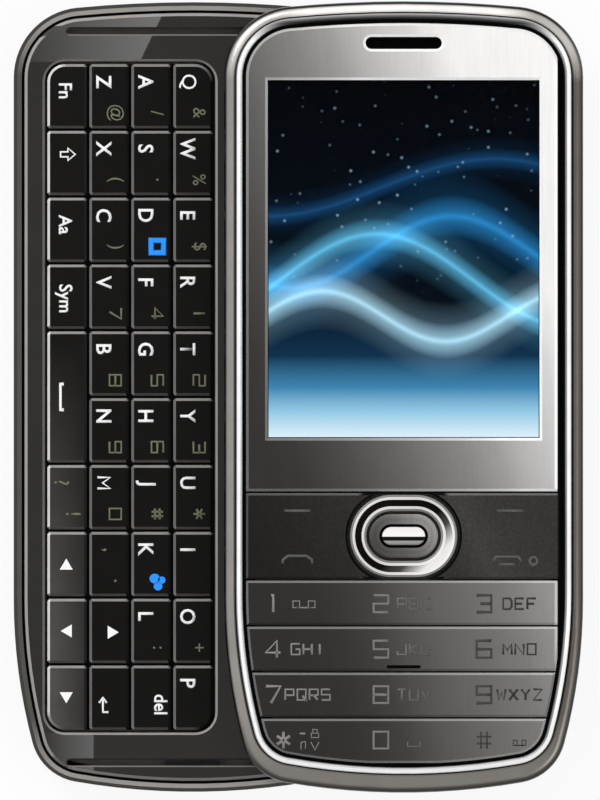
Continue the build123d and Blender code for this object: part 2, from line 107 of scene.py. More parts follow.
class Graph:
    """Node graph of one material, with short calls for the nodes in use here.

    Attributes:
        bevel_tilt: Upward shares of a normal, with the share by which it belongs to a bevel.
        noise_span: Levels between which most of a noise pattern lies.
    """

    bevel_tilt: Stops = ((0.2, 0.0), (0.4, 1.0), (0.9, 1.0), (0.985, 0.0))
    noise_span: Spot = (0.3, 0.7)

    def __init__(self, name: str) -> None:
        """Start a material with a principled shader.

        Args:
            name: Name of the material.
        """
        self.material = bpy.data.materials.new(name)
        self.material.use_nodes = True
        self.tree = self.material.node_tree
        self.nodes = self.tree.nodes
        self.shader = self.nodes["Principled BSDF"]

    def node(self, kind: str, **settings: object) -> bpy.types.Node:
        """Add one node.

        Args:
            kind: Type name of the node.
            settings: Properties to set on it.

        Returns:
            The new node.
        """
        made = self.nodes.new(kind)
        for key, value in settings.items():
            setattr(made, key, value)
        return made

    def feed(self, socket: Socket, value: object) -> None:
        """Link a socket to an input, or set the input's own value.

        Args:
            socket: Input of a node.
            value: Socket to link, or value to set.
        """
        if isinstance(value, Socket):
            self.tree.links.new(value, socket)
        elif isinstance(value, tuple) and socket.type == "RGBA":
            socket.default_value = (*value, 1.0)
        else:
            socket.default_value = value

    def shade(self, **values: object) -> None:
        """Set or link inputs of the shader, with underscores for spaces."""
        for key, value in values.items():
            self.feed(self.shader.inputs[key.replace("_", " ")], value)

    def sum(self, kind: str, first: object, second: object = 0.0) -> Socket:
        """Add a math node.

        Args:
            kind: Operation of the node.
            first: Socket or number.
            second: Socket or number.

        Returns:
            The result's socket.
        """
        made = self.node("ShaderNodeMath", operation=kind)
        self.feed(made.inputs[0], first)
        self.feed(made.inputs[1], second)
        return made.outputs[0]

    def place(self) -> Socket:
        """Object coordinates in millimetres.

        Returns:
            The coordinates' socket.
        """
        source = self.node("ShaderNodeTexCoord").outputs["Object"]
        made = self.node("ShaderNodeVectorMath", operation="SCALE")
        self.feed(made.inputs[0], source)
        self.feed(made.inputs["Scale"], 1 / MM)
        return made.outputs[0]

    def axes(self, vector: Socket) -> list[Socket]:
        """Split a vector into its three parts.

        Args:
            vector: Socket of the vector.

        Returns:
            The sockets of its parts.
        """
        made = self.node("ShaderNodeSeparateXYZ")
        self.feed(made.inputs[0], vector)
        return list(made.outputs)

    def along(self, vector: Socket, direction: Point) -> Socket:
        """Part of a vector along a direction.

        Args:
            vector: Socket of the vector.
            direction: Direction to measure along.

        Returns:
            The part's socket.
        """
        made = self.node("ShaderNodeVectorMath", operation="DOT_PRODUCT")
        self.feed(made.inputs[0], vector)
        self.feed(made.inputs[1], direction)
        return made.outputs["Value"]

    def normal(self) -> Socket:
        """Surface normal of the piece itself."""
        return self.node("ShaderNodeNewGeometry").outputs["Normal"]

    def bevel(self) -> Socket:
        """Share by which a spot belongs to a bevel of a flat-topped piece."""
        return self.level(self.along(self.normal(), UP), self.bevel_tilt)

    def noise(self, size: float, detail: float, stretch: Point = (1, 1, 1)) -> Socket:
        """Add a noise pattern on object coordinates.

        Args:
            size: Rough size of a patch in millimetres.
            detail: Octaves of finer noise.
            stretch: How much longer a patch is along each axis.

        Returns:
            The pattern, about 0 to 1.
        """
        spread = self.node("ShaderNodeMapping")
        self.feed(spread.inputs["Vector"], self.place())
        self.feed(spread.inputs["Scale"], tuple(1 / (size * part) for part in stretch))
        made = self.node("ShaderNodeTexNoise")
        self.feed(made.inputs["Vector"], spread.outputs[0])
        self.feed(made.inputs["Scale"], 1.0)
        self.feed(made.inputs["Detail"], detail)
        return made.outputs["Fac"]

    def ramp(self, value: Socket, stops: tuple[tuple[float, Colour], ...]) -> Socket:
        """Colour that follows a value through stops.

        Args:
            value: Socket that is read.
            stops: Places in rising order, each with its colour.

        Returns:
            The colour's socket.
        """
        low, high = stops[0][0], stops[-1][0]
        share = self.node("ShaderNodeMapRange")
        self.feed(share.inputs["Value"], value)
        self.feed(share.inputs["From Min"], low)
        self.feed(share.inputs["From Max"], high)
        made = self.node("ShaderNodeValToRGB")
        marks = made.color_ramp.elements
        while len(marks) < len(stops):
            marks.new(1.0)
        for mark, (spot, colour) in zip(marks, stops):
            mark.position = (spot - low) / (high - low)
            mark.color = (*colour, 1.0)
        self.feed(made.inputs[0], share.outputs[0])
        return made.outputs["Color"]

    def level(self, value: Socket, stops: Stops) -> Socket:
        """Number that follows a value through stops, as in ramp."""
        return self.ramp(value, tuple((spot, (share,) * 3) for spot, share in stops))

    def blend(self, share: object, low: object, high: object, kind: str = "MIX") -> Socket:
        """Mix two colours.

        Args:
            share: How much of the second one shows.
            low: First colour or socket.
            high: Second colour or socket.
            kind: Blend type.

        Returns:
            The mixed colour's socket.
        """
        made = self.node("ShaderNodeMix", data_type="RGBA", blend_type=kind)
        self.feed(made.inputs[0], share)
        self.feed(made.inputs[6], low)
        self.feed(made.inputs[7], high)
        return made.outputs[2]

    def times(self, first: object, second: object) -> Socket:
        """Product of two colours."""
        return self.blend(1.0, first, second, "MULTIPLY")

    def plus(self, first: object, second: object) -> Socket:
        """Sum of two colours."""
        return self.blend(1.0, first, second, "ADD")

    def vary(self, pattern: Socket, depth: float, middle: float = 1.0) -> Socket:
        """Number that swings about its middle, by a share of it, with a noise pattern."""
        ends = middle * (1 - depth), middle * (1 + depth)
        return self.level(pattern, tuple(zip(self.noise_span, ends)))

    def dots(self, scale: float) -> Socket:
        """Distance from the nearest of scattered dots.

        Args:
            scale: Dots per millimetre.

        Returns:
            The distance's socket.
        """
        made = self.node("ShaderNodeTexVoronoi", feature="F1")
        self.feed(made.inputs["Vector"], self.place())
        self.feed(made.inputs["Scale"], scale)
        return made.outputs["Distance"]

    def rise(self, value: Socket, span: Spot) -> Socket:
        """Share that rises from 0 to 1 as a value passes through a span."""
        return self.level(value, ((span[0], 0.0), (span[1], 1.0)))

    def seen(self) -> Socket:
        """Share that is 1 where the backdrop is looked at, also by metal and glass.

        Returns:
            The share's socket.
        """
        path = self.node("ShaderNodeLightPath")
        camera, glossy, clear = (
            path.outputs[f"Is {kind} Ray"] for kind in ("Camera", "Glossy", "Transmission")
        )
        return self.sum("MAXIMUM", camera, self.sum("MAXIMUM", glossy, clear))

    def bump(self, height: Socket, depth: float) -> None:
        """Raise the surface by a pattern.

        Args:
            height: Socket of the pattern.
            depth: Most height, in millimetres.
        """
        made = self.node("ShaderNodeBump")
        self.feed(made.inputs["Distance"], depth * MM)
        self.feed(made.inputs["Height"], height)
        self.feed(self.shader.inputs["Normal"], made.outputs[0])


class SkyGraph(Graph):
    """Node graph of the world."""

    def __init__(self, name: str) -> None:
        """Start a world and make it the scene's own.

        Args:
            name: Name of the world.
        """
        world = bpy.data.worlds.new(name)
        world.use_nodes = True
        bpy.context.scene.world = world
        self.tree = world.node_tree
        self.nodes = self.tree.nodes
        self.shader = self.nodes["Background"]


@dataclass(frozen=True)
class Finish:
    """Plain finish with wandering colour, fine grain and uneven gloss.

    Attributes:
        name: Name of the material.
        colour: Colour in linear light.
        roughness: Middle roughness.
        metallic: Share of metal.
        specular: Level of the clear reflection.
        coat: Share of clear coat.
        coat_roughness: Roughness of that coat.
        wander: Share by which the colour wanders.
        wander_size: Size of a patch of it.
        grain_size: Size of the surface grain.
        grain_depth: Depth of the surface grain.
        grain_gloss: Share by which the grain changes the roughness.
        stretch: How far the grain is drawn out along each axis.
    """

    name: str
    colour: Colour
    roughness: float = 0.45
    metallic: float = 0.0
    specular: float = 0.4
    coat: float = 0.0
    coat_roughness: float = 0.04
    wander: float = 0.12
    wander_size: float = 4.0
    grain_size: float = 0.2
    grain_depth: float = 0.004
    grain_gloss: float = 0.15
    stretch: Point = (1, 1, 1)

    def hue(self, graph: Graph) -> Colour | Socket:
        """Colour before it wanders."""
        return self.colour

    def extra(self, graph: Graph) -> None:
        """Hook for finishes with more inputs."""

    def make(self) -> bpy.types.Material:
        """Build the material.

        Returns:
            The finished material.
        """
        graph = Graph(self.name)
        grain = graph.noise(self.grain_size, detail=2.0, stretch=self.stretch)
        colour = self.hue(graph)
        if self.wander:
            patch = graph.noise(self.wander_size, detail=3.0)
            colour = graph.times(colour, graph.vary(patch, self.wander))
        graph.shade(
            Base_Color=colour,
            Roughness=graph.vary(grain, self.grain_gloss, self.roughness),
            Metallic=self.metallic,
            Specular_IOR_Level=self.specular,
            Coat_Weight=self.coat,
            Coat_Roughness=self.coat_roughness,
        )
        if self.grain_depth:
            graph.bump(grain, self.grain_depth)
        self.extra(graph)
        return graph.material


@dataclass(frozen=True)
class EdgedFinish(Finish):
    """Finish whose bevels carry painted light: painted highlights on the lit side and painted shade on the
    far side.

    Attributes:
        left: Painted light colour of bevels that face the outer flank.
        top: Painted light colour of bevels that face the earpiece end.
        bottom: Painted light colour of bevels that face the chin.
        right: Painted light colour of bevels that face the display half.
        lit_from: Direction along which the four sides are told apart.
        turns: Shares of a normal along it, for right, bottom, top and left.
    """

    left: Colour = grey(120)
    top: Colour = grey(140)
    bottom: Colour = grey(80)
    right: Colour = grey(25)
    lit_from: Point = (-0.8, 0.6, 0.0)
    turns: tuple[float, ...] = (-0.57, -0.42, 0.42, 0.57)

    def face(self, graph: Graph) -> Colour | Socket:
        """Colour of the face."""
        return self.colour

    def hue(self, graph: Graph) -> Socket:
        """Face colour, and on the bevels the painted light of the side they face.

        Args:
            graph: Graph to draw in.

        Returns:
            The colour's socket.
        """
        side = graph.along(graph.normal(), self.lit_from)
        sides = zip(self.turns, (self.right, self.bottom, self.top, self.left))
        return graph.blend(graph.bevel(), self.face(graph), graph.ramp(side, tuple(sides)))


@dataclass(frozen=True)
class SheenFinish(EdgedFinish):
    """Edged finish with a painted sheen: its face pales towards the outer flank and the chin.

    Attributes:
        pale: Colour where the painted sheen is palest.
        across: Distances across with the share of that colour.
        along: Distances along the phone with the share of that colour.
    """

    pale: Colour = grey(72, 3)
    across: Stops = ((-19.0, 1.0), (-14.8, 0.35))
    along: Stops = ((-34.0, 1.0), (-12.0, 0.5), (8.0, 0.0))

    def face(self, graph: Graph) -> Socket:
        """Colour of the face, with the painted sheen by its place.

        Args:
            graph: Graph to draw in.

        Returns:
            The colour's socket.
        """
        x, y, _ = graph.axes(graph.place())
        share = graph.sum("MULTIPLY", graph.level(x, self.across), graph.level(y, self.along))
        return graph.blend(share, self.colour, self.pale)


@dataclass(frozen=True)
class RimFinish(Finish):
    """Paint whose upper rim carries a painted highlight on its flat and painted shade on its shoulder.

    Attributes:
        rim: Heights between which the plain colour gives way to the rim.
        flat: Painted highlight colour of the rim's flat along the flanks.
        flat_end: Painted highlight colour of the flat at both ends.
        dark: Painted shade colour of the shoulder and of the rim's foot.
        shoulder: Slopes between which the shoulder turns into the flat.
        ends: Distances along the phone between which a flank turns into an end.
    """

    rim: Spot = (7.2, 7.25)
    flat: Colour = grey(74, 6)
    flat_end: Colour = grey(142, 8)
    dark: Colour = grey(54, 4)
    shoulder: Spot = (0.8, 0.95)
    ends: Spot = (44.0, 51.0)

    def hue(self, graph: Graph) -> Socket:
        """Plain colour below, the rim's painted highlight and painted shade by slope above.

        Args:
            graph: Graph to draw in.

        Returns:
            The colour's socket.
        """
        _, y, z = graph.axes(graph.place())
        light = graph.blend(graph.rise(graph.sum("ABSOLUTE", y), self.ends), self.flat, self.flat_end)
        tilt = graph.along(graph.normal(), UP)
        rim = graph.blend(graph.rise(tilt, self.shoulder), self.dark, light)
        return graph.blend(graph.rise(z, self.rim), self.colour, rim)


@dataclass(frozen=True)
class ShadedMetal(Finish):
    """Brushed metal with a painted light gradient that runs from graphite to silver across the piece.

    Attributes:
        heading: Direction in which it gets lighter.
        start: Place where the measure along that direction is zero.
        stops: Distances in millimetres with their display levels.
        warmth: Levels taken from their blue.
        edge_gain: How many times lighter the painted highlight of a lit bevel is than the face beside it.
        edge_lift: Painted light added to a lit bevel besides.
        edge_most: Lightest painted highlight of a bevel.
        edge_far: Share of that which the bevels of the far sides get.
        lit_from: Direction that the lit bevels face.
        lit_turn: Shares of a normal along it, for the far side, the middle and the lit side.
        brush: Depth of the brush lines in the colour.
        brush_size: Width of a brush line.
        brush_stretch: How far it is drawn out along each axis.
        speckle: Depth of a fine dot weave in the colour.
        speckle_scale: Dots per millimetre.
        speckle_span: Distances from a dot between which it fades.
        trim: Distance across past which the edge is painted black as shadow, behind a painted highlight
            line, or 0 for none.
        trim_line: Width of that line.
        trim_light: Share of the bevel's colour in that line.
        trim_step: Width over which its edges fade.
        dark_reach: Distance from the start within which bevels are painted black as shade in the gap, or 0
            for none.
        dark_fade: Width over which that ends.
        dark: Colour of that painted shade.
    """

    heading: Point = (1.0, 0.0, 0.0)
    start: Spot = (0.0, 0.0)
    stops: Stops = ((-20.0, 50.0), (20.0, 200.0))
    warmth: float = 3.0
    edge_gain: float = 1.5
    edge_lift: float = 0.1
    edge_most: Colour = grey(250)
    edge_far: float = 0.0
    lit_from: Point = (-0.6, 0.8, 0.0)
    lit_turn: Point = (-0.5, 0.1, 0.5)
    brush: float = 0.07
    brush_size: float = 0.16
    brush_stretch: Point = (1, 40, 1)
    speckle: float = 0.0
    speckle_scale: float = 2.6
    speckle_span: Spot = (0.1, 0.6)
    trim: float = 0.0
    trim_line: float = 0.4
    trim_light: float = 0.8
    trim_step: float = 0.05
    dark_reach: float = 0.0
    dark_fade: float = 0.5
    dark: Colour = grey(4)

    def face(self, graph: Graph) -> Socket:
        """Face colour as the painted light gradient along the heading, with fine brush lines and the dot
        weave.

        Args:
            graph: Graph to draw in.

        Returns:
            The colour's socket.
        """
        zero = sum(part * spot for part, spot in zip(self.heading, self.start))
        run = graph.sum("SUBTRACT", graph.along(graph.place(), self.heading), zero)
        face = graph.ramp(run, tuple((spot, grey(level, self.warmth)) for spot, level in self.stops))
        lines = graph.noise(self.brush_size, detail=2.0, stretch=self.brush_stretch)
        face = graph.times(face, graph.vary(lines, self.brush))
        if self.speckle:
            weave = zip(self.speckle_span, (1 + self.speckle, 1 - self.speckle))
            face = graph.times(face, graph.level(graph.dots(self.speckle_scale), tuple(weave)))
        return face

    def near(self, graph: Graph) -> Socket:
        """Share of one round the start, which falls to zero past the dark reach.

        Args:
            graph: Graph to draw in.

        Returns:
            The share's socket.
        """
        x, y, _ = graph.axes(graph.place())
        squares = []
        for axis, middle in zip((x, y), self.start):
            off = graph.sum("SUBTRACT", axis, middle)
            squares.append(graph.sum("MULTIPLY", off, off))
        reach = graph.sum("SQRT", graph.sum("ADD", *squares))
        return graph.level(reach, ((self.dark_reach, 1.0), (self.dark_reach + self.dark_fade, 0.0)))

    def hue(self, graph: Graph) -> Socket:
        """Face colour with painted highlights on the bevels of the lit sides, and the painted shadow at the
        black edge.

        Args:
            graph: Graph to draw in.

        Returns:
            The colour's socket.
        """
        face = self.face(graph)
        edge = graph.plus(graph.times(face, (self.edge_gain,) * 3), (self.edge_lift,) * 3)
        edge = graph.blend(1.0, edge, self.edge_most, "DARKEN")
        side = graph.along(graph.normal(), self.lit_from)
        shares = (self.edge_far, (1 + self.edge_far) / 2, 1.0)
        lit = graph.level(side, tuple(zip(self.lit_turn, shares)))
        if self.dark_reach:
            near = self.near(graph)
            edge = graph.blend(near, edge, self.dark)
            lit = graph.sum("MAXIMUM", lit, near)
        lit = graph.sum("MULTIPLY", graph.bevel(), lit)
        if not self.trim:
            return graph.blend(lit, face, edge)
        x, _, _ = graph.axes(graph.place())
        # A painted highlight line, then painted shadow past the trim distance.
        line, step = self.trim - self.trim_line, self.trim_step
        bright = graph.level(x, ((line - step, 0.0), (line + 2 * step, self.trim_light)))
        face = graph.blend(bright, face, edge)
        past = graph.rise(x, (self.trim - step, self.trim + step))
        return graph.blend(past, graph.blend(lit, face, edge), self.dark)

    def extra(self, graph: Graph) -> None:
        """Let the bevels glow softly instead of mirroring what stands beside them."""
        rest = graph.sum("SUBTRACT", 1.0, graph.bevel())
        graph.shade(Metallic=graph.sum("MULTIPLY", rest, self.metallic))


@dataclass(frozen=True)
class RingMetal(Finish):
    """Chromed ring with painted light by distance from the inner wall: painted highlight on the ridge,
    painted shade in the groove, satin flank.

    Attributes:
        attribute: Mesh attribute that holds the distance in millimetres, below zero on the shelf.
        ridge: Painted highlight colour of the polished ridge.
        ridge_bottom: Painted highlight colour of the ridge at the chin.
        ridge_gloss: Roughness of the ridge.
        ridge_turn: Slopes of the ridge across the phone, with the share of its colour; the inward slope on
            the far side gets painted shade.
        ridge_end: Distance at which the ridge starts to turn into the flank.
        head_from: Distance along the phone past which the ridge's painted highlight fades towards its inner
            wall.
        head_fade: Distances from the wall there, with their display levels.
        shadow: Painted shadow colour of the inner wall and of the shelf behind.
        shadow_end: Distance at which the shadow ends.
        groove: Distances between which the groove lies.
        groove_depth: How much painted shade darkens the flank there.
        groove_head: Share of that at the head.
        groove_chin: Share of that at the chin.
        step: Width over which the groove's edges fade.
        left: Flank colour on the side of the keyboard, with its light painted in.
        right: Flank colour on the far side, with its shade painted in.
        bottom: Flank colour at the chin, with its light painted in.
        corner: Flank colour where the head turns into a flank, with its light painted in.
        corner_span: Distances from the middle there, with the share of that colour.
        middle_x: Middle of the ring.
        turn_x: Distances from the middle between which the left colour turns into the right.
        ends: Distances along the phone between which a flank turns into an end.
        foot: Slopes of the flank, with the share of its colour, as painted shade towards the foot.
        head_foot: The same at the head.
        chin_foot: The same at the chin.
        wall: Heights on the upright outer wall, with the display levels of its painted reflection.
        wall_warmth: Levels taken from their blue.
        wall_turn: Slopes with the share of the wall's colour.
    """

    attribute: str = "wall_distance"
    ridge: Colour = grey(250)
    ridge_bottom: Colour = grey(232)
    ridge_gloss: float = 0.14
    ridge_turn: Stops = ((-0.65, 0.4), (-0.35, 0.85), (0.0, 1.0))
    ridge_end: float = 0.77
    head_from: float = 48.5
    head_fade: Stops = ((0.1, 4), (0.4, 67), (0.67, 129), (0.95, 224), (1.1, 245))
    shadow: Colour = grey(8)
    shadow_end: float = 0.22
    groove: Spot = (1.1, 1.25)
    groove_depth: float = 0.7
    groove_head: float = 0.3
    groove_chin: float = 0.2
    step: float = 0.02
    left: Colour = grey(147, 8)
    right: Colour = grey(92, 8)
    bottom: Colour = grey(122, 8)
    corner: Colour = grey(150, 8)
    corner_span: Stops = ((13.0, 0.0), (18.0, 0.75), (21.0, 0.6), (24.0, 0.0))
    middle_x: float = 28.8
    turn_x: Spot = (-10.0, 10.0)
    ends: Spot = (43.0, 51.0)
    foot: Stops = ((0.0, 0.45), (0.12, 0.2), (0.3, 0.08), (0.5, 0.15), (0.7, 0.6), (0.8, 1.0))
    head_foot: Stops = ((0.0, 0.45), (0.12, 0.2), (0.3, 0.02), (0.7, 0.02), (0.84, 0.9), (0.9, 1.0))
    chin_foot: Stops = ((0.0, 0.45), (0.12, 0.2), (0.3, 0.15), (0.7, 0.2), (0.86, 0.45), (0.96, 1.0))
    wall: Stops = ((9.3, 70), (10.0, 96), (12.0, 150), (13.2, 168), (13.8, 120))
    wall_warmth: float = 6.0
    wall_turn: Stops = ((0.0, 1.0), (0.15, 0.6), (0.4, 0.0))

    def distance(self, graph: Graph) -> Socket:
        """Distance from the inner wall, read from the mesh."""
        return graph.node("ShaderNodeAttribute", attribute_name=self.attribute).outputs["Fac"]

    def flank(self, graph: Graph, head: Socket, chin: Socket) -> Socket:
        """Painted light of the flank by the side of the phone and the slope, and of the wall by height.

        Args:
            graph: Graph to draw in.
            head: Share by which a spot belongs to the head.
            chin: Share by which it belongs to the chin.

        Returns:
            The colour's socket.
        """
        x, _, z = graph.axes(graph.place())
        tilt = graph.along(graph.normal(), UP)
        off = graph.sum("SUBTRACT", x, self.middle_x)
        flank = graph.ramp(off, tuple(zip(self.turn_x, (self.left, self.right))))
        flank = graph.blend(chin, graph.blend(head, flank, self.colour), self.bottom)
        corner = graph.level(graph.sum("ABSOLUTE", off), self.corner_span)
        flank = graph.blend(graph.sum("MULTIPLY", corner, head), flank, self.corner)
        foot = graph.blend(head, graph.level(tilt, self.foot), graph.level(tilt, self.head_foot))
        foot = graph.blend(chin, foot, graph.level(tilt, self.chin_foot))
        wall = graph.ramp(z, tuple((height, grey(level, self.wall_warmth)) for height, level in self.wall))
        return graph.blend(graph.level(tilt, self.wall_turn), graph.times(flank, foot), wall)

    def hue(self, graph: Graph) -> Socket:
        """Painted light by the distance from the inner wall and by the side of the phone.

        Args:
            graph: Graph to draw in.

        Returns:
            The colour's socket.
        """
        _, y, _ = graph.axes(graph.place())
        facing, _, _ = graph.axes(graph.normal())
        gap = self.distance(graph)
        start, stop = self.ends
        near, far = self.groove
        head = graph.rise(y, (start, stop))
        chin = graph.level(y, ((-stop, 1.0), (-start, 0.0)))
        deep, step = self.groove_depth, self.step
        # Painted shade in the groove, weaker at the head and chin.
        cut = graph.level(gap, ((near - step, 0.0), (near, deep), (far, deep), (far + step, 0.0)))
        ends = ((-stop, self.groove_chin), (-start, 1.0), (start, 1.0), (stop, self.groove_head))
        cut = graph.sum("MULTIPLY", cut, graph.level(y, ends))
        flank = graph.blend(cut, self.flank(graph, head, chin), BLACK)
        ridge = graph.blend(chin, self.ridge, self.ridge_bottom)
        ridge = graph.times(ridge, graph.level(facing, self.ridge_turn))
        fade = graph.ramp(gap, tuple((spot, grey(level)) for spot, level in self.head_fade))
        ridge = graph.blend(graph.rise(y, (self.head_from, stop)), ridge, fade)
        # Painted shadow on the inner wall and the shelf.
        ridge = graph.blend(graph.rise(gap, (step, self.shadow_end)), self.shadow, ridge)
        return graph.blend(graph.rise(gap, (self.ridge_end, near - step)), ridge, flank)

    def extra(self, graph: Graph) -> None:
        """Polish the ridge more than the flank."""
        stops = tuple(zip(self.groove, (self.ridge_gloss, self.roughness)))
        graph.shade(Roughness=graph.level(self.distance(graph), stops))


@dataclass(frozen=True)
class ClearFinish(Finish):
    """Coated clear sheet with a faint smear in its gloss.

    Attributes:
        bend: Index by which it bends light.
    """

    bend: float = 1.003

    def extra(self, graph: Graph) -> None:
        """Let light through."""
        graph.shade(Transmission_Weight=1.0, IOR=self.bend)


@dataclass(frozen=True)
class Ribbon:
    """Soft band of light along a sine line, in shares of the picture.

    Attributes:
        height: Middle of the line.
        swing: Reach of the line above and below it.
        turns: Waves across the width.
        phase: Shift of the wave in turns.
        width: Softness of the band.
        colour: Colour of its light.
        fade: Distances from the line in widths, with the share of its light.
    """

    height: float
    swing: float
    turns: float
    phase: float
    width: float
    colour: Colour
    fade: Stops = ((0.0, 1.0), (0.25, 0.55), (1.0, 0.08), (2.2, 0.0))

    def glow(self, graph: Graph, across: Socket, up: Socket) -> Socket:
        """Light of the band.

        Args:
            graph: Graph to draw in.
            across: Share of the width, from -0.5 to 0.5.
            up: Share of the height, from -0.5 to 0.5.

        Returns:
            The colour's socket.
        """
        turn = graph.sum("ADD", graph.sum("MULTIPLY", across, self.turns), self.phase)
        wave = graph.sum("SINE", graph.sum("MULTIPLY", turn, 2 * math.pi))
        line = graph.sum("ADD", graph.sum("MULTIPLY", wave, self.swing), self.height)
        off = graph.sum("ABSOLUTE", graph.sum("SUBTRACT", up, line))
        soft = tuple((distance * self.width, share) for distance, share in self.fade)
        return graph.blend(graph.level(off, soft), BLACK, self.colour)


@dataclass(frozen=True)
class ScreenPicture:
    """Lit picture of light ribbons over a pale horizon, drawn by sums alone.

    Attributes:
        name: Name of the material.
        centre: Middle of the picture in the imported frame.
        size: Width and height.
        horizon: Shares of the height, with the colours behind the ribbons.
        ribbons: Bands of light.
        spark: Colour of the scattered sparks.
        spark_scale: Sparks per millimetre.
        spark_fade: Distances from a spark, with the share of its light.
        spark_height: Shares of the height, with the share of the sparks' light.
        roughness: Roughness of the layer.
        specular: Level of its reflection.
    """

    name: str
    centre: Spot
    size: Spot
    horizon: tuple[tuple[float, Colour], ...] = (
        (-0.5, tone(222, 240, 250)), (-0.43, tone(150, 204, 232)), (-0.36, tone(62, 132, 176)),
        (-0.27, tone(14, 48, 76)), (-0.12, tone(4, 12, 22)), (0.5, tone(2, 3, 6)),
    )
    ribbons: tuple[Ribbon, ...] = (
        Ribbon(0.02, 0.10, 0.85, 0.10, 0.060, tone(40, 132, 196)),
        Ribbon(-0.06, 0.13, 0.70, 0.32, 0.045, tone(96, 186, 226)),
        Ribbon(-0.16, 0.07, 1.10, 0.58, 0.050, tone(176, 224, 244)),
        Ribbon(0.20, 0.08, 0.60, 0.05, 0.030, tone(20, 70, 116)),
    )
    spark: Colour = tone(150, 190, 214)
    spark_scale: float = 0.55
    spark_fade: Stops = ((0.0, 0.8), (0.10, 0.25), (0.16, 0.0))
    spark_height: Stops = ((-0.1, 0.0), (0.15, 1.0), (0.5, 0.4))
    roughness: float = 0.06
    specular: float = 0.02

    def make(self) -> bpy.types.Material:
        """Build the material.

        Returns:
            The finished material.
        """
        graph = Graph(self.name)
        across, up = (
            graph.sum("DIVIDE", graph.sum("SUBTRACT", axis, middle), length)
            for axis, middle, length in zip(graph.axes(graph.place()), self.centre, self.size)
        )
        picture = graph.ramp(up, self.horizon)
        for ribbon in self.ribbons:
            picture = graph.plus(picture, ribbon.glow(graph, across, up))
        glint = graph.level(graph.dots(self.spark_scale), self.spark_fade)
        share = graph.sum("MULTIPLY", glint, graph.level(up, self.spark_height))
        picture = graph.plus(picture, graph.blend(share, BLACK, self.spark))
        graph.shade(Base_Color=BLACK, Roughness=self.roughness, Specular_IOR_Level=self.specular)
        graph.shade(Emission_Color=picture, Emission_Strength=1.0)
        return graph.material


# Housing paint; its upper rim carries a painted highlight and painted shade.
HOUSING = RimFinish("housing_paint", grey(104, 9), 0.34, 0.55, wander=0.06, grain_size=0.12)
# Inside of the shell, near black so the gaps and slots into it look dark: painted shade.
INSIDE = Finish("housing_inside", grey(12), 0.7, specular=0.1)
COVER = Finish("cover_paint", grey(72, 6), 0.36, 0.6, wander=0.06, stretch=(1, 30, 1))
CAN = Finish("battery_wrap", grey(70), 0.5, wander=0.1)
BOARD = Finish("board_lacquer", tone(24, 78, 44), 0.45, wander=0.2, wander_size=1.2)
CAN_STEEL = Finish("can_steel", grey(150), 0.35, 1.0, wander=0.05)
# Silicone mat under the keys, darkened so the gaps between the keys read black: its own colour plus painted
# shade.
MAT = Finish("mat_silicone", grey(18), 0.7, specular=0.1, wander=0.1)
# Deck and key bevels get painted highlights and painted shade by the side they face.
DECK = EdgedFinish(
    "deck_lacquer", grey(28, 4), 0.004, specular=0.25, wander=0.05, grain_depth=0.0,
    left=grey(158, 6), top=grey(150, 6), bottom=grey(110, 6), right=grey(104, 5),
)
# Bevels round the guide slots: dimmer painted highlights and painted shade by the side they face.
SLOT_EDGE = EdgedFinish(
    "slot_edge", grey(28, 4), 0.1, specular=0.25, wander=0.05, grain_depth=0.0,
    left=grey(60, 5), top=grey(120, 6), bottom=grey(40, 5), right=grey(60, 5),
)
LETTER = EdgedFinish(
    "key_lacquer", grey(15, 2), 0.42, specular=0.05, wander=0.08, grain_depth=0.001,
    left=grey(112, 3), top=grey(140, 3), bottom=grey(72, 3), right=grey(16),
)
# Outer key column: a white painted highlight on the left bevels and a painted sheen on the faces towards
# the chin.
LETTER_OUTER = SheenFinish(
    "key_lacquer_outer", grey(17, 2), 0.42, specular=0.05, wander=0.08, grain_depth=0.001,
    left=grey(225, 3), top=grey(150, 3), bottom=grey(72, 3), right=grey(30),
)
SCREW = Finish("screw_steel", grey(150), 0.3, 1.0, grain_size=0.1)
SLIDE = Finish("slide_steel", grey(190), 0.28, 1.0, stretch=(20, 1, 1))
CHASSIS = Finish("chassis_plastic", grey(42, 3), 0.5, grain_size=0.15)
# Bezel chrome: painted highlights, shadow and side light by the distance from its inner wall.
BEZEL = RingMetal("bezel_chrome", grey(243, 8), 0.27, 1.0, wander=0.05, grain_depth=0.0)
# Fascia: painted light gradient, painted highlights on lit bevels, and a painted shadow strip behind a
# painted highlight line at its right edge.
FASCIA = ShadedMetal(
    "fascia_metal", grey(128), 0.36, 0.55, specular=0.1,
    wander=0.02, grain_depth=0.001, stretch=(1, 40, 1),
    heading=(1.0, 0.40, 0.0), start=(10.57, 47.3),
    stops=(
        (-23.0, 49), (-18.2, 54), (-11.6, 72), (-4.5, 95), (4.1, 126),
        (9.3, 150), (12.0, 168), (15.9, 187), (20.3, 204), (24.6, 228), (37.0, 233),
    ),
    edge_gain=2.5, edge_lift=0.1, edge_far=0.95, brush=0.035, trim=49.77,
)
# Number bars: the same painted light gradient, bevel highlights and right-edge painted shadow.
NUMBER = ShadedMetal(
    "number_metal", grey(90), 0.36, 0.55, specular=0.1,
    wander=0.02, grain_depth=0.001, stretch=(1, 40, 1),
    heading=(1.0, 0.25, 0.0), start=(10.57, -28.2),
    stops=(
        (0.0, 44), (6.3, 47), (9.5, 52), (13.6, 61), (18.3, 79),
        (23.2, 93), (27.0, 101), (32.6, 115), (38.4, 138), (40.0, 142),
    ),
    edge_gain=1.5, edge_lift=0.16, brush=0.035, trim=49.77,
)
# Bottom bar: its far-side bevels also get a painted highlight.
NUMBER_FOOT = replace(NUMBER, name="number_metal_foot", edge_far=0.8)
